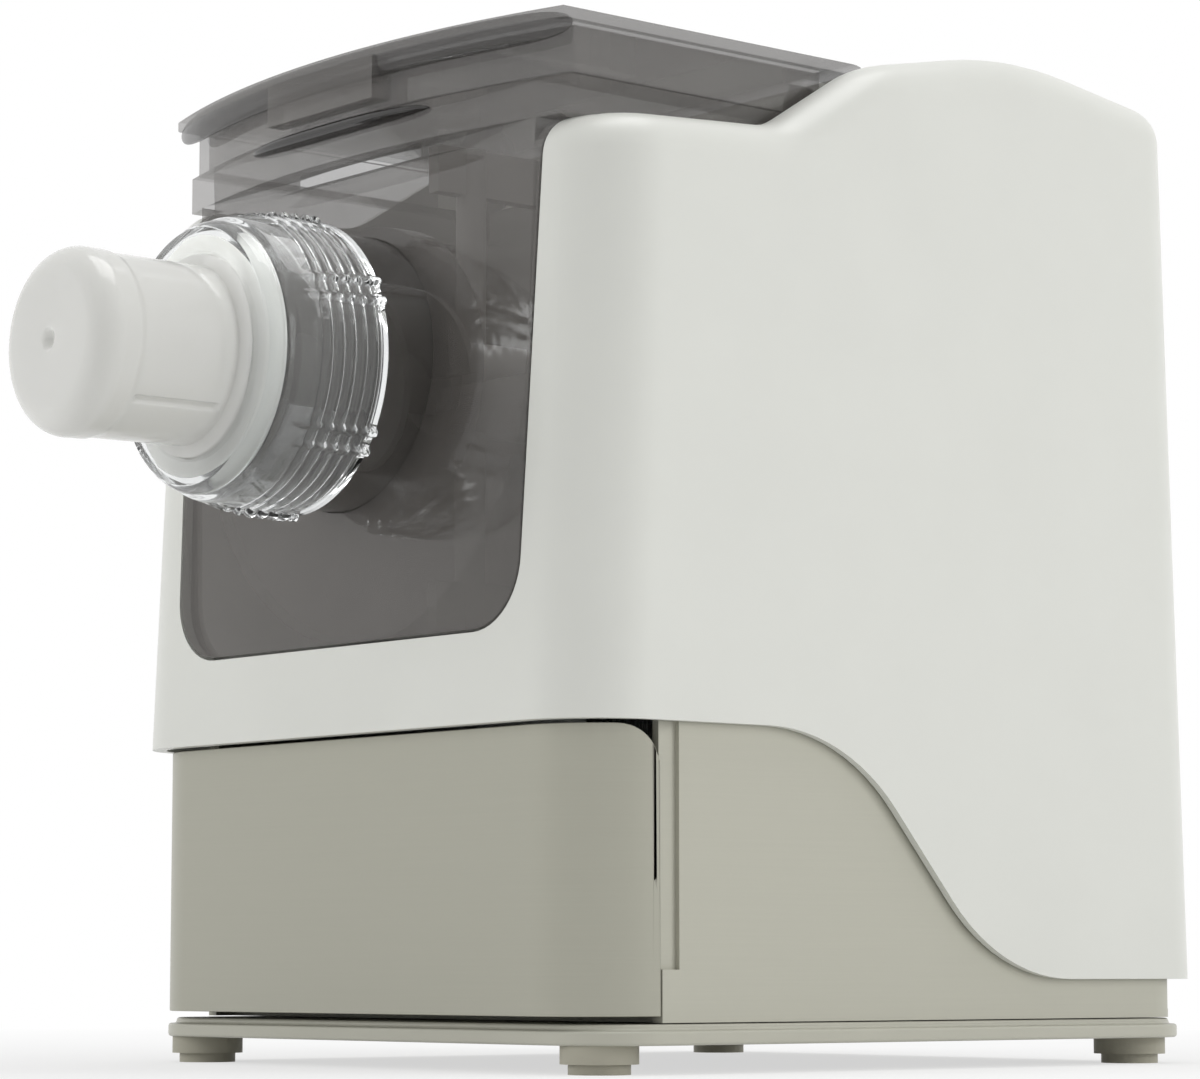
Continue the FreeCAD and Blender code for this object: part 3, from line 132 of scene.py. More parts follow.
@dataclass(frozen=True)
class Graph:
    """A node tree with short ways to add and join nodes."""

    tree: bpy.types.NodeTree

    @classmethod
    def of(cls, owner: bpy.types.Material | bpy.types.World) -> "Graph":
        """Starts an empty tree.

        Args:
            owner: The material or world that it belongs to.

        Returns:
            The graph.
        """
        owner.use_nodes = True
        owner.node_tree.nodes.clear()
        return cls(owner.node_tree)

    def add(self, kind: str, **sockets: object) -> bpy.types.Node:
        """Adds a node and sets its input sockets.

        Args:
            kind: The node's type name after ShaderNode.
            sockets: Input values or output sockets, with _ for a space.

        Returns:
            The node.
        """
        node = self.tree.nodes.new("ShaderNode" + kind)
        for name, value in sockets.items():
            self.feed(node.inputs[name.replace("_", " ")], value)
        return node

    def feed(self, socket: Socket, value: object) -> None:
        """Links or sets an input socket.

        Args:
            socket: The input socket.
            value: An output socket to link, or a plain value to set.
        """
        if isinstance(value, Socket):
            self.tree.links.new(value, socket)
        else:
            socket.default_value = value

    def combine(self, operation: str, one: object, two: object) -> Socket:
        """Joins two numbers by one of the Math node's operations.

        Args:
            operation: The Math node's name for it.
            one: The first number or socket.
            two: The second number or socket.

        Returns:
            The result.
        """
        node = self.add("Math")
        node.operation = operation
        self.feed(node.inputs[0], one)
        self.feed(node.inputs[1], two)
        return node.outputs[0]

    def noise(self, scale: float, detail: float = 3.0,
              stretch: Sequence[float] = (1.0, 1.0, 1.0)) -> Socket:
        """Noise between 0 and 1 on object coordinates.

        Args:
            scale: Cells to the metre.
            detail: How many finer layers it has.
            stretch: Extra scale along x, y and z.

        Returns:
            The noise.
        """
        where = self.add("TexCoord").outputs["Object"]
        place = self.add("Mapping", Vector=where, Scale=tuple(stretch)).outputs["Vector"]
        return self.add("TexNoise", Vector=place, Scale=scale, Detail=detail).outputs["Fac"]

    def moved(self, value: Socket, start: float, end: float, low: float, high: float) -> Socket:
        """Moves a value in a straight line from start..end to low..high."""
        return self.add("MapRange", Value=value, From_Min=start, From_Max=end,
                        To_Min=low, To_Max=high).outputs["Result"]

    def span(self, value: Socket, low: float, high: float) -> Socket:
        """Spreads a noise, which lies mostly in 0.3..0.7, over low..high."""
        return self.moved(value, 0.3, 0.7, low, high)

    def tints(self, value: Socket, one: Colour, two: Colour) -> Socket:
        """Mixes two colours.

        Args:
            value: The share of the second colour.
            one: The first colour.
            two: The second colour.

        Returns:
            The mixed colour.
        """
        node = self.add("Mix")
        node.data_type = "RGBA"
        self.feed(node.inputs["Factor"], value)
        self.feed(node.inputs["A"], (*one, 1.0))
        self.feed(node.inputs["B"], (*two, 1.0))
        return node.outputs["Result"]

    def mottled(self, value: Socket, colour: Colour, swing: float) -> Socket:
        """The colour, darker and lighter by swing as a noise goes."""
        return self.tints(self.span(value, 0.0, 1.0), shade(colour, 1.0 - swing),
                          shade(colour, 1.0 + swing))

    def bump(self, height: Socket, depth: float, strength: float = 0.5) -> Socket:
        """A bumped normal from a height."""
        return self.add("Bump", Height=height, Strength=strength,
                        Distance=depth).outputs["Normal"]

    def watched(self) -> Socket:
        """Tells which rays look at the white backdrop.

        Returns:
            1 for rays from the camera, a glossy surface or a clear one, else 0.
        """
        path = self.add("LightPath").outputs
        through = self.combine("MAXIMUM", path["Is Glossy Ray"], path["Is Transmission Ray"])
        return self.combine("MAXIMUM", path["Is Camera Ray"], through)

    def blend(self, share: Socket, one: Socket, two: Socket) -> Socket:
        """Mixes two shaders.

        Args:
            share: The share of the second shader.
            one: The first shader.
            two: The second shader.

        Returns:
            The mixed shader.
        """
        node = self.add("MixShader")
        for socket, value in zip(node.inputs, (share, one, two)):
            self.feed(socket, value)
        return node.outputs[0]


@dataclass(frozen=True)
class Moulded:
    """An opaque moulded plastic with faint mottling and a fine moulded skin."""

    name: str
    colour: Colour
    sheen: Sheen = Sheen.SATIN
    mottle: float = 0.03
    grain: float = 2600.0
    depth: float = 0.00002
    subsurface: float = 0.0
    cloud: float = 28.0
    wipe: float = 110.0
    wipe_swing: float = 0.03
    bleed: Colour = (1.0, 1.0, 0.96)
    bleed_reach: float = 0.006

    def make(self) -> bpy.types.Material:
        """Builds the material.

        Returns:
            The material.
        """
        material = bpy.data.materials.new(self.name)
        g = Graph.of(material)
        rough = g.span(g.noise(self.wipe), self.sheen.value - self.wipe_swing,
                       self.sheen.value + self.wipe_swing)
        shader = g.add("BsdfPrincipled", Roughness=rough,
                       Base_Color=g.mottled(g.noise(self.cloud), self.colour, self.mottle),
                       Normal=g.bump(g.noise(self.grain, 2.0), self.depth))
        if self.subsurface:
            shader.inputs["Subsurface Weight"].default_value = self.subsurface
            shader.inputs["Subsurface Radius"].default_value = self.bleed
            shader.inputs["Subsurface Scale"].default_value = self.bleed_reach
        g.add("OutputMaterial", Surface=shader.outputs["BSDF"])
        return material


@dataclass(frozen=True)
class Brushed:
    """A satin metallic skin with fine level brush strokes."""

    name: str
    colour: Colour
    roughness: float = 0.36
    metallic: float = 0.55
    stroke: tuple[float, float, float] = (22.0, 22.0, 2400.0)
    streak: float = 0.012
    wipe_swing: float = 0.02
    depth: float = 0.00001
    strength: float = 0.12

    def make(self) -> bpy.types.Material:
        """Builds the material.

        Returns:
            The material.
        """
        material = bpy.data.materials.new(self.name)
        g = Graph.of(material)
        strokes = g.noise(1.0, 4.0, self.stroke)
        rough = g.span(strokes, self.roughness - self.wipe_swing,
                       self.roughness + self.wipe_swing)
        shader = g.add("BsdfPrincipled", Roughness=rough, Metallic=self.metallic,
                       Base_Color=g.mottled(strokes, self.colour, self.streak),
                       Normal=g.bump(strokes, self.depth, self.strength))
        g.add("OutputMaterial", Surface=shader.outputs["BSDF"])
        return material


@dataclass(frozen=True)
class Smoked:
    """A see-through smoked plastic that covers more where it is seen edge on."""

    name: str
    colour: Colour
    cover: float
    edge_cover: float = 0.95
    roughness: float = 0.05
    steepness: float = 2.2
    gloss: float = 0.8
    mottle: float = 0.08

    def make(self) -> bpy.types.Material:
        """Builds the material, whose alpha goes from cover to edge_cover.

        Returns:
            The material.
        """
        material = bpy.data.materials.new(self.name)
        g = Graph.of(material)
        facing = g.add("LayerWeight", Blend=0.5).outputs["Facing"]
        edge = g.combine("POWER", facing, self.steepness)
        rough = g.span(g.noise(90.0), self.roughness * 0.7, self.roughness * 1.3)
        shader = g.add("BsdfPrincipled", Roughness=rough,
                       Base_Color=g.mottled(g.noise(40.0), self.colour, self.mottle),
                       Normal=g.bump(g.noise(22.0, 1.0), 0.00004, 0.3),
                       Alpha=g.moved(edge, 0.0, 1.0, self.cover, self.edge_cover))
        shader.inputs["Specular IOR Level"].default_value = self.gloss
        g.add("OutputMaterial", Surface=shader.outputs["BSDF"])
        material.surface_render_method = "BLENDED"
        return material


@dataclass(frozen=True)
class Clear:
    """A clear plastic that bends light as thick mouldings do."""

    name: str
    colour: Colour
    roughness: float = 0.02
    ior: float = 1.46
    dulling: float = 0.97

    def make(self) -> bpy.types.Material:
        """Builds the material.

        Returns:
            The material.
        """
        material = bpy.data.materials.new(self.name)
        g = Graph.of(material)
        rough = g.span(g.noise(160.0), self.roughness * 0.5, self.roughness * 1.5)
        cloud = g.span(g.noise(60.0), 0.0, 1.0)
        shader = g.add("BsdfPrincipled", Roughness=rough,
                       Base_Color=g.tints(cloud, shade(self.colour, self.dulling), self.colour),
                       Normal=g.bump(g.noise(70.0, 2.0), 0.0002, 0.25))
        shader.inputs["Transmission Weight"].default_value = 1.0
        shader.inputs["IOR"].default_value = self.ior
        g.add("OutputMaterial", Surface=shader.outputs["BSDF"])
        return material


HOUSING_TONE = linear("dcddd7")
BASE_TONE = linear("b9b8ab")
SMOKE_TONE = linear("75716d")


class Finish(Enum):
    """Every finish on the machine."""

    WHITE = Moulded("white plastic", HOUSING_TONE, Sheen.SATIN, 0.01)
    LINER = Moulded("liner plastic", shade(HOUSING_TONE, 0.85), Sheen.MATTE, 0.02)
    GREIGE = Brushed("greige skin", BASE_TONE, 0.45, 0.15)
    DRAWER = Brushed("drawer skin", linear("a9a89b"), 0.36, 0.35)
    PLATE = Moulded("base plate plastic", BASE_TONE, Sheen.SATIN, 0.015)
    FOOT = Moulded("foot rubber", linear("a9a697"), Sheen.MATTE, 0.05, 900.0, 0.00006)
    SMOKE = Smoked("smoked plastic", SMOKE_TONE, 0.30)
    SMOKE_DARK = Smoked("smoked thick plastic", shade(SMOKE_TONE, 0.8), 0.42)
    # Painted shade: a much darker, more opaque copy of the smoked plastic for the lid's lip,
    # standing for the shade under the lid's front overhang.
    SMOKE_LIP = Smoked("smoked lip painted shade", shade(SMOKE_TONE, 0.3), 0.42, 0.97)
    # Partly painted shade: near-black and nearly opaque, for the pull bar and the shaded
    # underside of the bin rim's bow.
    SMOKE_BAR = Smoked("smoked bar painted shade", linear("24211f"), 0.82)
    CLEAR = Clear("clear plastic", linear("f4f6f6"))
    MILK = Moulded("milky plastic", linear("dbdbd7"), Sheen.GLOSS, 0.01, 1200.0, 0.00001, 0.5)
    DARK = Moulded("dark plastic", linear("232120"), Sheen.SATIN, 0.08)
    PADDLE = Moulded("paddle plastic", linear("b4b2ae"), Sheen.SATIN, 0.03)
    STEEL = Brushed("steel", linear("c4c6c8"), 0.28, 1.0, (1400.0, 1400.0, 30.0))
    GEAR = Moulded("gear plastic", linear("e2ddcb"), Sheen.SATIN, 0.03)
    BOARD = Moulded("circuit board", linear("23553a"), Sheen.SATIN, 0.15, 600.0)
    LENS = Moulded("display lens", linear("0d0f11"), Sheen.GLOSS, 0.1)
    KEY = Moulded("button plastic", linear("d0d0ca"), Sheen.SATIN, 0.02)


Skins = dict[Finish, bpy.types.Material]


def link_piece(name: str, mesh: bpy.types.Mesh) -> bpy.types.Object:
    """Puts a mesh into the scene, shaded smooth.

    Args:
        name: The object's name.
        mesh: Its mesh.

    Returns:
        The linked object.
    """
    mesh.polygons.foreach_set("use_smooth", np.ones(len(mesh.polygons), dtype=bool))
    item = bpy.data.objects.new(name, mesh)
    bpy.context.collection.objects.link(item)
    return item


def mesh_piece(name: str, points: Array, faces: Sequence[Sequence[int]],
               material: bpy.types.Material) -> bpy.types.Object:
    """Puts points and faces into a new object.

    Args:
        name: The piece's name.
        points: Rows of x, y, z in metres.
        faces: Rows of corner numbers.
        material: Its finish.

    Returns:
        The linked object.
    """
    mesh = bpy.data.meshes.new(name)
    mesh.from_pydata(points.tolist(), [], faces)
    mesh.validate()
    mesh.materials.append(material)
    return link_piece(name, mesh)


def tube_faces(rows: int, columns: int, ring: bool) -> list[list[int]]:
    """Faces of a tube whose points are numbered row by row round it.

    Each quad joins a point, its right neighbour and the two below them.

    Args:
        rows: Number of rows along the tube.
        columns: Number of points round it.
        ring: Whether the last row joins the first. If not, both ends get a cap.

    Returns:
        Rows of corner numbers.
    """
    i = np.arange(rows if ring else rows - 1)[:, None]
    j = np.arange(columns)[None, :]
    right, below = (j + 1) % columns, (i + 1) % rows
    corners = np.broadcast_arrays(i * columns + j, i * columns + right,
                                  below * columns + right, below * columns + j)
    faces = np.stack(corners, axis=-1).reshape(-1, 4).tolist()
    if not ring:
        last = (rows - 1) * columns
        faces += [list(range(columns)), list(range(last, last + columns))]
    return faces


def outwards(item: bpy.types.Object) -> bpy.types.Object:
    """Turns a closed mesh's faces outwards.

    Args:
        item: The object that has the mesh.

    Returns:
        The same object.
    """
    bm = bmesh.new()
    bm.from_mesh(item.data)
    bmesh.ops.recalc_face_normals(bm, faces=bm.faces)
    bm.to_mesh(item.data)
    bm.free()
    return item


def around(count: int) -> Array:
    """Count even angles round a full turn."""
    return np.linspace(0, FULL_TURN, count, endpoint=False)


def turned(along: Array, radius: Array, angle: Array, height: float) -> Array:
    """Points of a form turned round the level axis x = 0, z = height.

    A point at angle a lies at (r sin a, y, height + r cos a).

    Args:
        along: The y of each row.
        radius: The radius of each row and column.
        angle: The angle of each column.
        height: The axis's height.

    Returns:
        A grid of x, y, z.
    """
    y = np.broadcast_to(along[:, None], radius.shape)
    return np.stack([radius * np.sin(angle), y, height + radius * np.cos(angle)], axis=-1)


@dataclass
class SubAssembly:
    """Pieces of the machine that are dressed and built together."""

    frame: dict
    skins: Skins

    def dress(self, finish: Finish, *nodes: str) -> None:
        """Gives CAD nodes a finish.

        Args:
            finish: The finish.
            nodes: The nodes' names.
        """
        for name in nodes:
            for slot in self.frame["nodes"][name].material_slots:
                slot.material = self.skins[finish]
            LOG.info("dressed %s", name)

    def tie(self, item: bpy.types.Object, body: Body, slot: Slot, *nodes: str) -> None:
        """Parents a piece to its body and hides the nodes that it stands for.

        Args:
            item: The piece.
            body: The body it rides on.
            slot: Not used.
            nodes: The nodes it replaces.
        """
        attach(item, body.value)
        if nodes:
            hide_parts(*nodes)
        LOG.info("built %s", item.name)

    def soften(self, node: str, width: float, body: Body, slot: Slot) -> None:
        """Replaces a node by a copy with its loose triangles joined and its edges rounded.

        Args:
            node: The CAD node.
            width: The edge radius.
            body: The body it rides on.
            slot: Its material slot.
        """
        mesh = self.frame["nodes"][node].data.copy()
        mesh.name = node + "_skin"
        bm = bmesh.new()
        bm.from_mesh(mesh)
        bmesh.ops.remove_doubles(bm, verts=bm.verts, dist=2e-6)
        bmesh.ops.dissolve_limit(bm, angle_limit=math.radians(0.4), verts=bm.verts,
                                 edges=bm.edges)
        bm.to_mesh(mesh)
        bm.free()
        stored = mesh.attributes.get("custom_normal")
        if stored:
            mesh.attributes.remove(stored)
        item = link_piece(node + "_skin", mesh)
        bevel = item.modifiers.new("rounded edges", "BEVEL")
        bevel.width = width
        bevel.segments = 2
        bevel.limit_method = "ANGLE"
        bevel.angle_limit = math.radians(35.0)
        bevel.harden_normals = True
        self.tie(item, body, slot, node)

    def tube(self, name: str, points: Array, finish: Finish,
             ring: bool = False) -> bpy.types.Object:
        """Builds a closed piece from a grid of points.

        Args:
            name: The piece's name.
            points: A grid of x, y, z, one row to a section.
            finish: Its finish.
            ring: Whether the last row joins the first.

        Returns:
            The piece.
        """
        faces = tube_faces(*points.shape[:2], ring)
        return outwards(mesh_piece(name, points.reshape(-1, 3), faces, self.skins[finish]))


@dataclass
class Casing(SubAssembly):
    """The moulded housing, its back cover and liner, and the base under it."""

    housing_edge: float = 0.0008
    plate_edge: float = 0.0008

    def build(self) -> None:
        """Dresses the casing and rounds the edges of the housing and the base plate."""
        self.dress(Finish.WHITE, "main_housing", "rear_cover")
        self.dress(Finish.LINER, "bay_liner")
        self.dress(Finish.GREIGE, "base_shell", "drawer_runners")
        self.dress(Finish.PLATE, "base_plate")
        self.dress(Finish.FOOT, "rubber_feet")
        self.soften("main_housing", self.housing_edge, Body.BASE, Slot.WHITE)
        self.soften("base_plate", self.plate_edge, Body.BASE, Slot.GREIGE)


@dataclass
class Drawer(SubAssembly):
    """The accessory drawer: its front and its tray."""

    front_edge: float = 0.0007

    def build(self) -> None:
        """Dresses the drawer and rounds the edges of its front."""
        self.dress(Finish.DRAWER, "drawer_front")
        self.dress(Finish.GREIGE, "drawer_tray")
        self.soften("drawer_front", self.front_edge, Body.DRAWER, Slot.DRAWER)


@dataclass
class MixingBin(SubAssembly):
    """The smoked bin with its barrel and the thin bar across its front, whose near-black finish
    is partly the bar's own plastic and partly painted shade for the underside of the rim's bow.
    """

    bin_edge: float = 0.0005
    bar_columns: int = 96
    bar_around: int = 24
    bar_thickness: float = 0.0042
    bar_drop: float = 0.0004
    bar_point: float = 3.0
    bar_span: float = 0.998

    def build(self) -> None:
        """Dresses the bin, rounds its edges and adds the bar, darkened partly as painted shade.
        """
        self.dress(Finish.SMOKE, "mixing_bin")
        self.dress(Finish.SMOKE_DARK, "extrusion_barrel")
        self.dress(Finish.SMOKE_BAR, "bin_pull_bar")
        self.soften("mixing_bin", self.bin_edge, Body.BIN, Slot.SMOKED)
        # The bar's lens and its near-black finish are partly painted shade for the underside of
        # the rim's bow.
        bar = self.tube("pull_bar_lens", self.bar_points(), Finish.SMOKE_BAR)
        self.tie(bar, Body.BIN, Slot.SMOKED, "bin_pull_bar")

    def bar_points(self) -> Array:
        """An ellipse carried along the bar, shrinking towards both ends.

        At place u from -1 to 1 and angle a the point lies at
        (middle + half u, rear - depth s (1 - cos a) / 2, top - thick (1 - s sin a) / 2),
        where s is the square root of 1 less the third power of the size of u.

        Returns:
            A grid of x, y, z.
        """
        low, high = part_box("bin_pull_bar")
        u = np.sin(np.linspace(-1.0, 1.0, self.bar_columns) * np.pi / 2 * self.bar_span)
        angle = around(self.bar_around)[None, :]
        size = np.sqrt(np.clip(1 - np.abs(u) ** self.bar_point, 0, 1))[:, None]
        x = ((low.x + high.x) / 2 + u * (high.x - low.x) / 2)[:, None]
        y = high.y - (high.y - low.y) * size * (1 - np.cos(angle)) / 2
        z = high.z - self.bar_drop - self.bar_thickness * (1 - size * np.sin(angle)) / 2
        return np.stack([np.broadcast_to(x, y.shape), y, z], axis=-1)


@dataclass
class Lid(SubAssembly):
    """The smoked lid with its latch tongue, pins and rounded front lip, whose much darker finish
    is painted shade for the underside of the lid's front overhang.
    """

    lid_edge: float = 0.0007
    lip_bow: float = 0.0140
    lip_half_high: float = 0.0045
    lip_half_deep: float = 0.0024
    lip_past: float = 0.0008
    lip_tip: float = 14.0
    lip_span: float = 0.996
    lip_columns: int = 160
    lip_around: int = 28

    def build(self) -> None:
        """Dresses the lid, rounds its edges and adds the lip, darkened as painted shade."""
        self.dress(Finish.SMOKE, "lid", "lid_latch")
        self.dress(Finish.STEEL, "lid_hinge_pins")
        self.soften("lid", self.lid_edge, Body.LID, Slot.SMOKED)
        # The lip's dark finish is painted shade for the underside of the lid's front overhang.
        lip = self.tube("lid_lip", self.lip_points(), Finish.SMOKE_LIP)
        self.tie(lip, Body.LID, Slot.SMOKED)

    def lip_points(self) -> Array:
        """An upright ellipse carried along the lid's bowed front.

        The path is the arc with the lid's width as its chord and the bow as its
        height. The ellipse shrinks to rounded tips, by the square root of 1
        less a high power of the share of the half width.

        Returns:
            A grid of x, y, z.
        """
        low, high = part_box("lid")
        half = (high.x - low.x) / 2 + self.lip_past
        radius = (half ** 2 + self.lip_bow ** 2) / (2 * self.lip_bow)
        x = half * np.sin(np.linspace(-1.0, 1.0, self.lip_columns) * np.pi / 2 * self.lip_span)
        front = low.y + self.lip_half_deep + radius - np.sqrt(radius ** 2 - x ** 2)
        size = np.sqrt(np.clip(1 - np.abs(x / half) ** self.lip_tip, 0, 1))[:, None]
        angle = around(self.lip_around)[None, :]
        y = front[:, None] + self.lip_half_deep * size * np.cos(angle)
        z = high.z - self.lip_half_high + self.lip_half_high * size * np.sin(angle)
        return np.stack([np.broadcast_to(x[:, None], y.shape), y, z], axis=-1)


@dataclass
class RingNut(SubAssembly):
    """The clear ring nut: rounded mouth, domed shoulder, rings and grip ribs.

    Shares of the nut's length run from 0 at its mouth to 1 at its rear.
    """

    axis_height: float = 0.1992
    columns: int = 432
    rows: int = 120
    mouth_radius: float = 0.0290
    mouth_depth: float = 0.0040
    bore_radius: float = 0.03505
    bead_flat: float = 0.6
    rear_edge: float = 0.0008
    nose_share: float = 0.815
    shoulder_rate: float = 1.45
    groove_at: float = 0.16
    groove_width: float = 0.03
    groove_depth: float = 0.0012
    ring_count: int = 5
    ring_start: float = 0.42
    ring_end: float = 0.92
    ring_depth: float = 0.00136
    ring_crest: float = 0.6
    rib_count: int = 6
    rib_phase: float = 6.0
    rib_gap: float = 4.2
    rib_width: float = 1.5
    rib_height: float = 0.0016
    rib_rate: float = 2.2
    rib_delay: float = 0.55

    def build(self) -> None:
        """Builds the nut, through which light passes to the die without a shadow."""
        self.dress(Finish.CLEAR, "ring_nut")
        nut = self.tube("ring_nut_clear", self.points(), Finish.CLEAR, ring=True)
        nut.visible_shadow = False
        self.tie(nut, Body.NUT, Slot.CLEAR, "ring_nut")

    def outer(self, low: Vector, high: Vector) -> Array:
        """The outline (y, radius) from the mouth back to the rear flange.

        The shoulder is a quarter of an ellipse from the nose's radius to the
        flange's radius. Rings stand on its rear half as a rounded wave, and a
        bell shaped groove runs behind the mouth.

        Args:
            low: Lowest corner of the nut.
            high: Highest corner of the nut.

        Returns:
            Rows of y and radius.
        """
        big = (high.x - low.x) / 2 - self.rib_height
        small = big * self.nose_share
        t = np.linspace(0.0, 1.0, self.rows)
        rise = np.clip(t * self.shoulder_rate, 0, 1)
        radius = small + (big - small) * np.sqrt(1 - (1 - rise) ** 2)
        phase = (t - self.ring_start) / (self.ring_end - self.ring_start)
        wave = np.abs(np.sin(np.pi * self.ring_count * phase)) ** self.ring_crest
        ringed = (t > self.ring_start) & (t < self.ring_end)
        radius -= np.where(ringed, self.ring_depth * (1 - wave), 0.0)
        radius -= self.groove_depth * np.exp(-((t - self.groove_at) / self.groove_width) ** 2)
        return np.stack([low.y + (high.y - low.y) * t, radius], axis=1)

    def points(self) -> Array:
        """The outline turned round the axis, with the ribs raised on it.

        The radius grows by a pair of bell shaped ribs at each sixth of a turn,
        which rise in a straight line from the shoulder to the flange.

        Returns:
            A grid of x, y, z.
        """
        low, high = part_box("ring_nut")
        outline = self.outer(low, high)
        (front_y, front_radius), rear_radius = outline[0], outline[-1][1]
        bead = np.linspace(0.0, np.pi, 12)[1:-1]
        bead_radius = (front_radius - self.mouth_radius) / 2
        nose = np.stack([front_y + bead_radius * (1 - np.sin(bead)) * self.bead_flat,
                         self.mouth_radius + bead_radius * (1 - np.cos(bead))], axis=1)
        inner = np.array([[high.y, self.bore_radius],
                          [low.y + self.mouth_depth, self.bore_radius],
                          [low.y + self.mouth_depth, self.mouth_radius]])
        rear = np.array([[high.y - self.rear_edge, rear_radius],
                         [high.y, rear_radius - self.rear_edge]])
        skin = outline[2:-3]
        profile = np.concatenate([inner, nose, skin, rear])
        share = (skin[:, 0] - low.y) / (high.y - low.y)
        raised = np.concatenate([np.zeros(len(inner) + len(nose)),
                                 np.clip(share * self.rib_rate - self.rib_delay, 0, 1),
                                 np.ones(len(rear))])
        angle = around(self.columns)
        turn = 360.0 / self.rib_count
        away = (np.degrees(angle) - self.rib_phase + turn / 2) % turn - turn / 2
        bell = np.maximum(np.exp(-((away - self.rib_gap) / self.rib_width) ** 4),
                          np.exp(-((away + self.rib_gap) / self.rib_width) ** 4))
        radius = profile[:, 1][:, None] + raised[:, None] * bell * self.rib_height
        return turned(profile[:, 0], radius, angle, self.axis_height)


@dataclass
class ShapingDie(SubAssembly):
    """The milky die: dished tip, waisted tube, long slot and held flange.

    Places along the tube are measured from its tip.
    """

    axis_height: float = 0.1992
    columns: int = 480
    radius: float = 0.0264
    tip_round: float = 0.0080
    pole: float = 0.00005
    dish_radius: float = 0.0038
    dish_depth: float = 0.0022
    dish_cone: float = 0.0001
    waist_at: float = 0.0145
    waist_drop: float = 0.0006
    waist_soft: float = 0.0005
    draft: float = 0.006
    tube_end: float = -0.1250
    hub_front: float = -0.1242
    hub_rear: float = -0.1203
    hub_radius: float = 0.0286
    flange_radius: float = 0.0335
    bore_radius: float = 0.0200
    bore_depth: float = 0.0040
    edge: float = 0.0003
    slot_angle: float = 132.0
    slot_half_width: float = 0.0011
    slot_depth: float = 0.0009
    slot_near: float = 0.016
    slot_far: float = 0.043
    slot_soft: float = 0.00012

    def build(self) -> None:
        """Builds the die."""
        self.dress(Finish.MILK, "shaping_die")
        die = self.tube("shaping_die_milky", self.points(), Finish.MILK)
        self.tie(die, Body.DIE, Slot.MILKY, "shaping_die")

    def outline(self, tip: float, root: float) -> Array:
        """The outline (y, radius) from the dish over the tube to the bore's end.

        The dish is a squared sine, the tip's corner a quarter circle, and the
        tube has a slight draft and drops by a smooth step at its waist.

        Args:
            tip: The front's y.
            root: The rear's y.

        Returns:
            Rows of y and radius.
        """
        dish = np.linspace(0.0, 1.0, 14)
        hollow = self.dish_depth * np.cos(dish * np.pi / 2) ** 2 + self.dish_cone * (1 - dish)
        centre = np.stack([tip + hollow, np.maximum(dish * self.dish_radius, self.pole)], axis=1)
        bend = np.linspace(0, np.pi / 2, 16)
        corner = np.stack([tip + self.tip_round * (1 - np.cos(bend)),
                           self.radius - self.tip_round * (1 - np.sin(bend))], axis=1)
        along = np.linspace(tip + self.tip_round + self.waist_soft, self.tube_end, 60)
        step = 1 / (1 + np.exp(-(along - (tip + self.waist_at)) / self.waist_soft))
        tube = np.stack([along, self.radius - self.waist_drop * step
                         - self.draft * (along - tip)], axis=1)
        floor = tip + self.bore_depth
        flange = np.array([[self.hub_front, self.hub_radius],
                           [self.hub_rear - 0.00002, self.hub_radius],
                           [self.hub_rear + 0.00002, self.flange_radius],
                           [root - self.edge, self.flange_radius],
                           [root, self.flange_radius - self.edge],
                           [root, self.bore_radius + self.edge],
                           [root - self.edge, self.bore_radius],
                           [floor + 0.0005, self.bore_radius],
                           [floor, self.bore_radius - 0.0004],
                           [floor, self.pole]])
        return np.concatenate([centre, corner, tube, flange])

    def points(self) -> Array:
        """The outline turned round the axis, with the slot sunk into it.

        The radius is lowered inside the slot's window, which is a smooth step
        of the way round times a smooth step of the place along the tube.

        Returns:
            A grid of x, y, z.
        """
        low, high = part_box("shaping_die")
        profile = self.outline(low.y, high.y)
        along, base = profile[:, 0], profile[:, 1]
        angle = around(self.columns)
        off = (np.degrees(angle) - self.slot_angle + 180) % 360 - 180
        across = np.radians(np.abs(off)) * self.radius
        window = 1 / (1 + np.exp((across - self.slot_half_width) / self.slot_soft))
        outside = (base > self.radius * 0.91) & (along < self.hub_front - self.edge)
        here = outside / (1 + np.exp(-(along - (low.y + self.slot_near)) / self.edge))
        here = here / (1 + np.exp((along - (low.y + self.slot_far)) / self.edge))
        radius = base[:, None] - self.slot_depth * here[:, None] * window[None, :]
        return turned(along, radius, angle, self.axis_height)


@dataclass
class Works(SubAssembly):
    """The kneading and driving pieces inside, dressed as they are in CAD."""

    def build(self) -> None:
        """Dresses the auger, the paddle, the gear train and the motor."""
        self.dress(Finish.PADDLE, "auger", "kneading_paddle")
        self.dress(Finish.STEEL, "gearbox_front_plate", "gearbox_rear_plate", "shaft_bushes",
                   "gearbox_spacers", "motor_body", "drive_shaft", "idler_axle", "motor_rotor")
        self.dress(Finish.GEAR, "drive_gear", "idler_gears")
        self.dress(Finish.DARK, "motor_fan")


@dataclass
class Controls(SubAssembly):
    """The panel on the hump, its board and buttons, and the power inlet."""

    def build(self) -> None:
        """Dresses the controls and the inlet."""
        self.dress(Finish.DARK, "control_panel", "power_inlet")
        self.dress(Finish.STEEL, "inlet_pins")
        self.dress(Finish.BOARD, "control_board")
        self.dress(Finish.LENS, "display_lens")
        self.dress(Finish.KEY, "power_button", "program_button", "start_button")


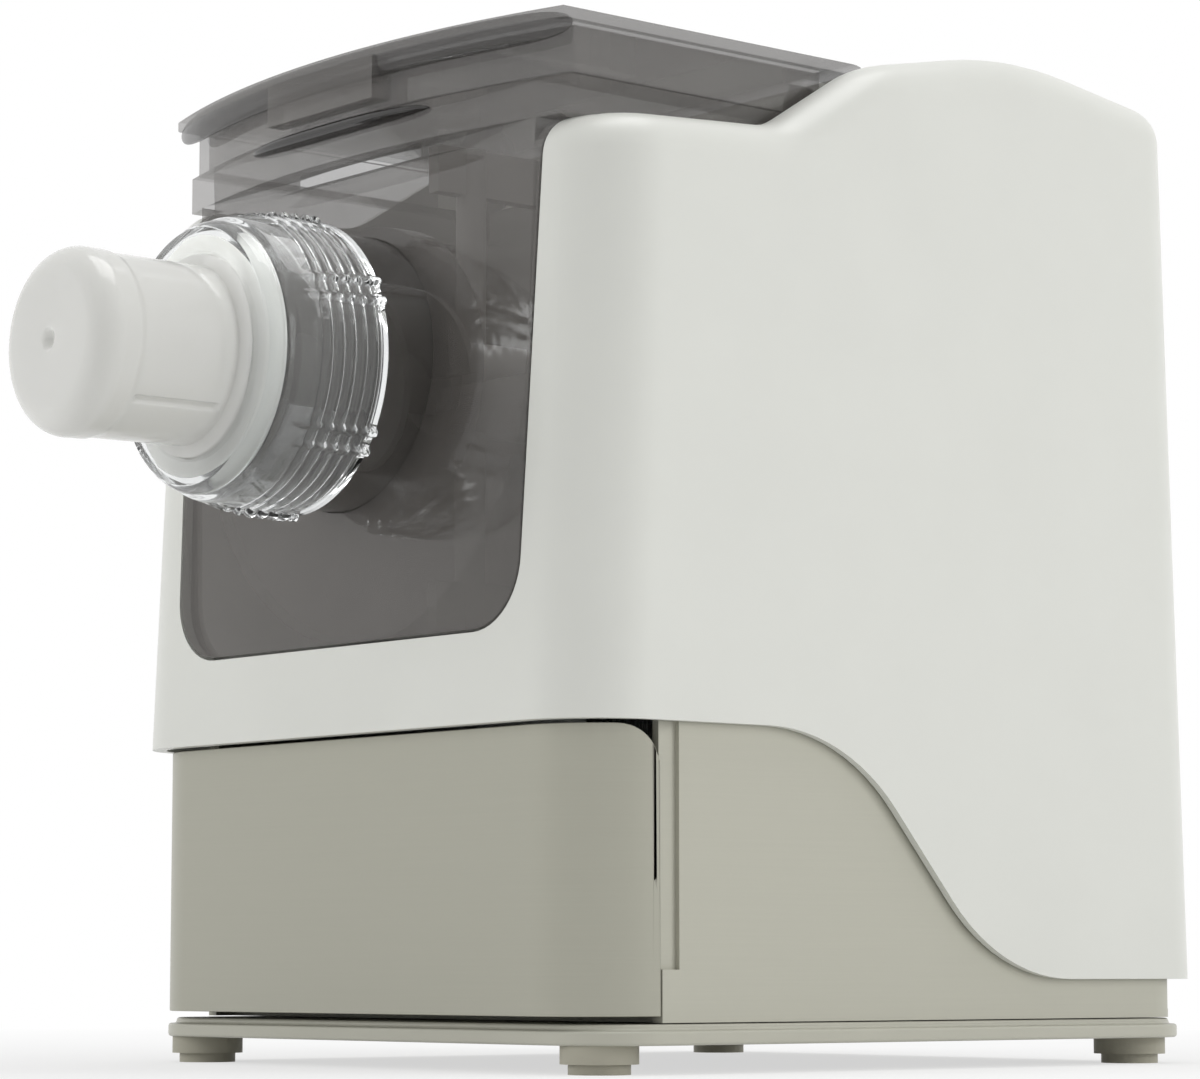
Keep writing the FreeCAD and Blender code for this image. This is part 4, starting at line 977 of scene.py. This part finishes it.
@dataclass(frozen=True)
class Lamp:
    """A square soft lamp that faces the machine."""

    name: str
    where: tuple[float, float, float]
    width: float
    power: float
    mirrored: bool = False

    def build(self, aim: Vector) -> None:
        """Adds the lamp.

        Args:
            aim: The point that it faces.
        """
        data = bpy.data.lights.new(self.name, "AREA")
        data.size = self.width
        data.energy = self.power
        item = bpy.data.objects.new(self.name, data)
        item.visible_glossy = self.mirrored
        bpy.context.collection.objects.link(item)
        place = Vector(self.where)
        turn = (aim - place).to_track_quat("-Z", "Y").to_matrix().to_4x4()
        item.matrix_world = Matrix.Translation(place) @ turn


@dataclass
class Studio:
    """White studio: camera, floor, backdrop and three soft lamps.

    Only the top lamp shows in glossy surfaces, so that the lid's top doesn't
    mirror the others as plain white.
    """

    azimuth: float = 50.41
    pitch: float = 6.40
    lens: float = 114.63
    camera: tuple[float, float, float] = (0.8904, -0.7113, 0.0284)
    floor_half: float = 8.0
    floor_tone: float = 0.86
    fade_near: float = 0.2
    fade_far: float = 0.75
    fade_least: float = 0.62
    sky: float = 0.42
    aim: tuple[float, float, float] = (0.0, 0.0, 0.15)
    lamps: tuple[Lamp, ...] = (Lamp("front lamp", (-1.3, -2.4, 1.0), 1.5, 27.0),
                               Lamp("side lamp", (2.3, 1.3, 0.9), 1.7, 29.0),
                               Lamp("top lamp", (0.1, 0.2, 2.5), 1.6, 22.0, True))

    def build(self) -> None:
        """Makes the camera, the floor and the light."""
        self.make_camera()
        self.make_floor()
        self.make_world()
        for lamp in self.lamps:
            lamp.build(Vector(self.aim))
        bpy.context.scene.view_settings.view_transform = "Standard"
        LOG.info("built the studio")

    def make_camera(self) -> None:
        """Puts the camera where the photograph was taken from."""
        data = bpy.data.cameras.new("camera")
        data.lens = self.lens
        data.sensor_width = 36.0
        data.sensor_fit = "HORIZONTAL"
        data.clip_end = 50.0
        data.clip_start = 0.02
        item = bpy.data.objects.new("camera", data)
        bpy.context.collection.objects.link(item)
        turn = Matrix.Rotation(math.radians(self.azimuth), 4, "Z")
        tilt = Matrix.Rotation(math.radians(90.0 + self.pitch), 4, "X")
        item.matrix_world = Matrix.Translation(Vector(self.camera)) @ turn @ tilt
        bpy.context.scene.camera = item

    def make_floor(self) -> None:
        """Lays a pale floor that is seen as fading to white away from the machine."""
        material = bpy.data.materials.new("pale floor")
        g = Graph.of(material)
        pale = g.add("BsdfDiffuse", Color=(*[self.floor_tone] * 3, 1.0)).outputs["BSDF"]
        bright = g.add("Emission", Color=(1.0, 1.0, 1.0, 1.0), Strength=1.0)
        reach = g.add("VectorMath", Vector=g.add("TexCoord").outputs["Object"])
        reach.operation = "LENGTH"
        fade = g.moved(reach.outputs["Value"], self.fade_near, self.fade_far,
                       self.fade_least, 1.0)
        share = g.combine("MULTIPLY", g.watched(), fade)
        g.add("OutputMaterial", Surface=g.blend(share, pale, bright.outputs["Emission"]))
        half = self.floor_half
        corners = np.array([(-half, -half, 0), (half, -half, 0), (half, half, 0),
                            (-half, half, 0)])
        mesh_piece("floor", corners, [(0, 1, 2, 3)], material)

    def make_world(self) -> None:
        """Fills the room with even light and shows a white backdrop."""
        world = bpy.data.worlds.new("studio")
        bpy.context.scene.world = world
        g = Graph.of(world)
        glow = g.add("Background", Color=(1.0, 1.0, 1.0, 1.0), Strength=self.sky)
        white = g.add("Background", Color=(1.0, 1.0, 1.0, 1.0), Strength=1.0)
        g.add("OutputWorld", Surface=g.blend(g.watched(), glow.outputs[0], white.outputs[0]))


def main(frame: dict) -> None:
    """Builds the looks of the machine in order.
    """
    skins = {finish: finish.value.make() for finish in Finish}
    for part in (Casing, Drawer, MixingBin, Lid, RingNut, ShapingDie, Works, Controls):
        part(frame, skins).build()
    Studio().build()


if __name__ == "__main__":
    logging.basicConfig(level=logging.INFO, format="%(name)s %(message)s")
    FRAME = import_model()
    main(FRAME)
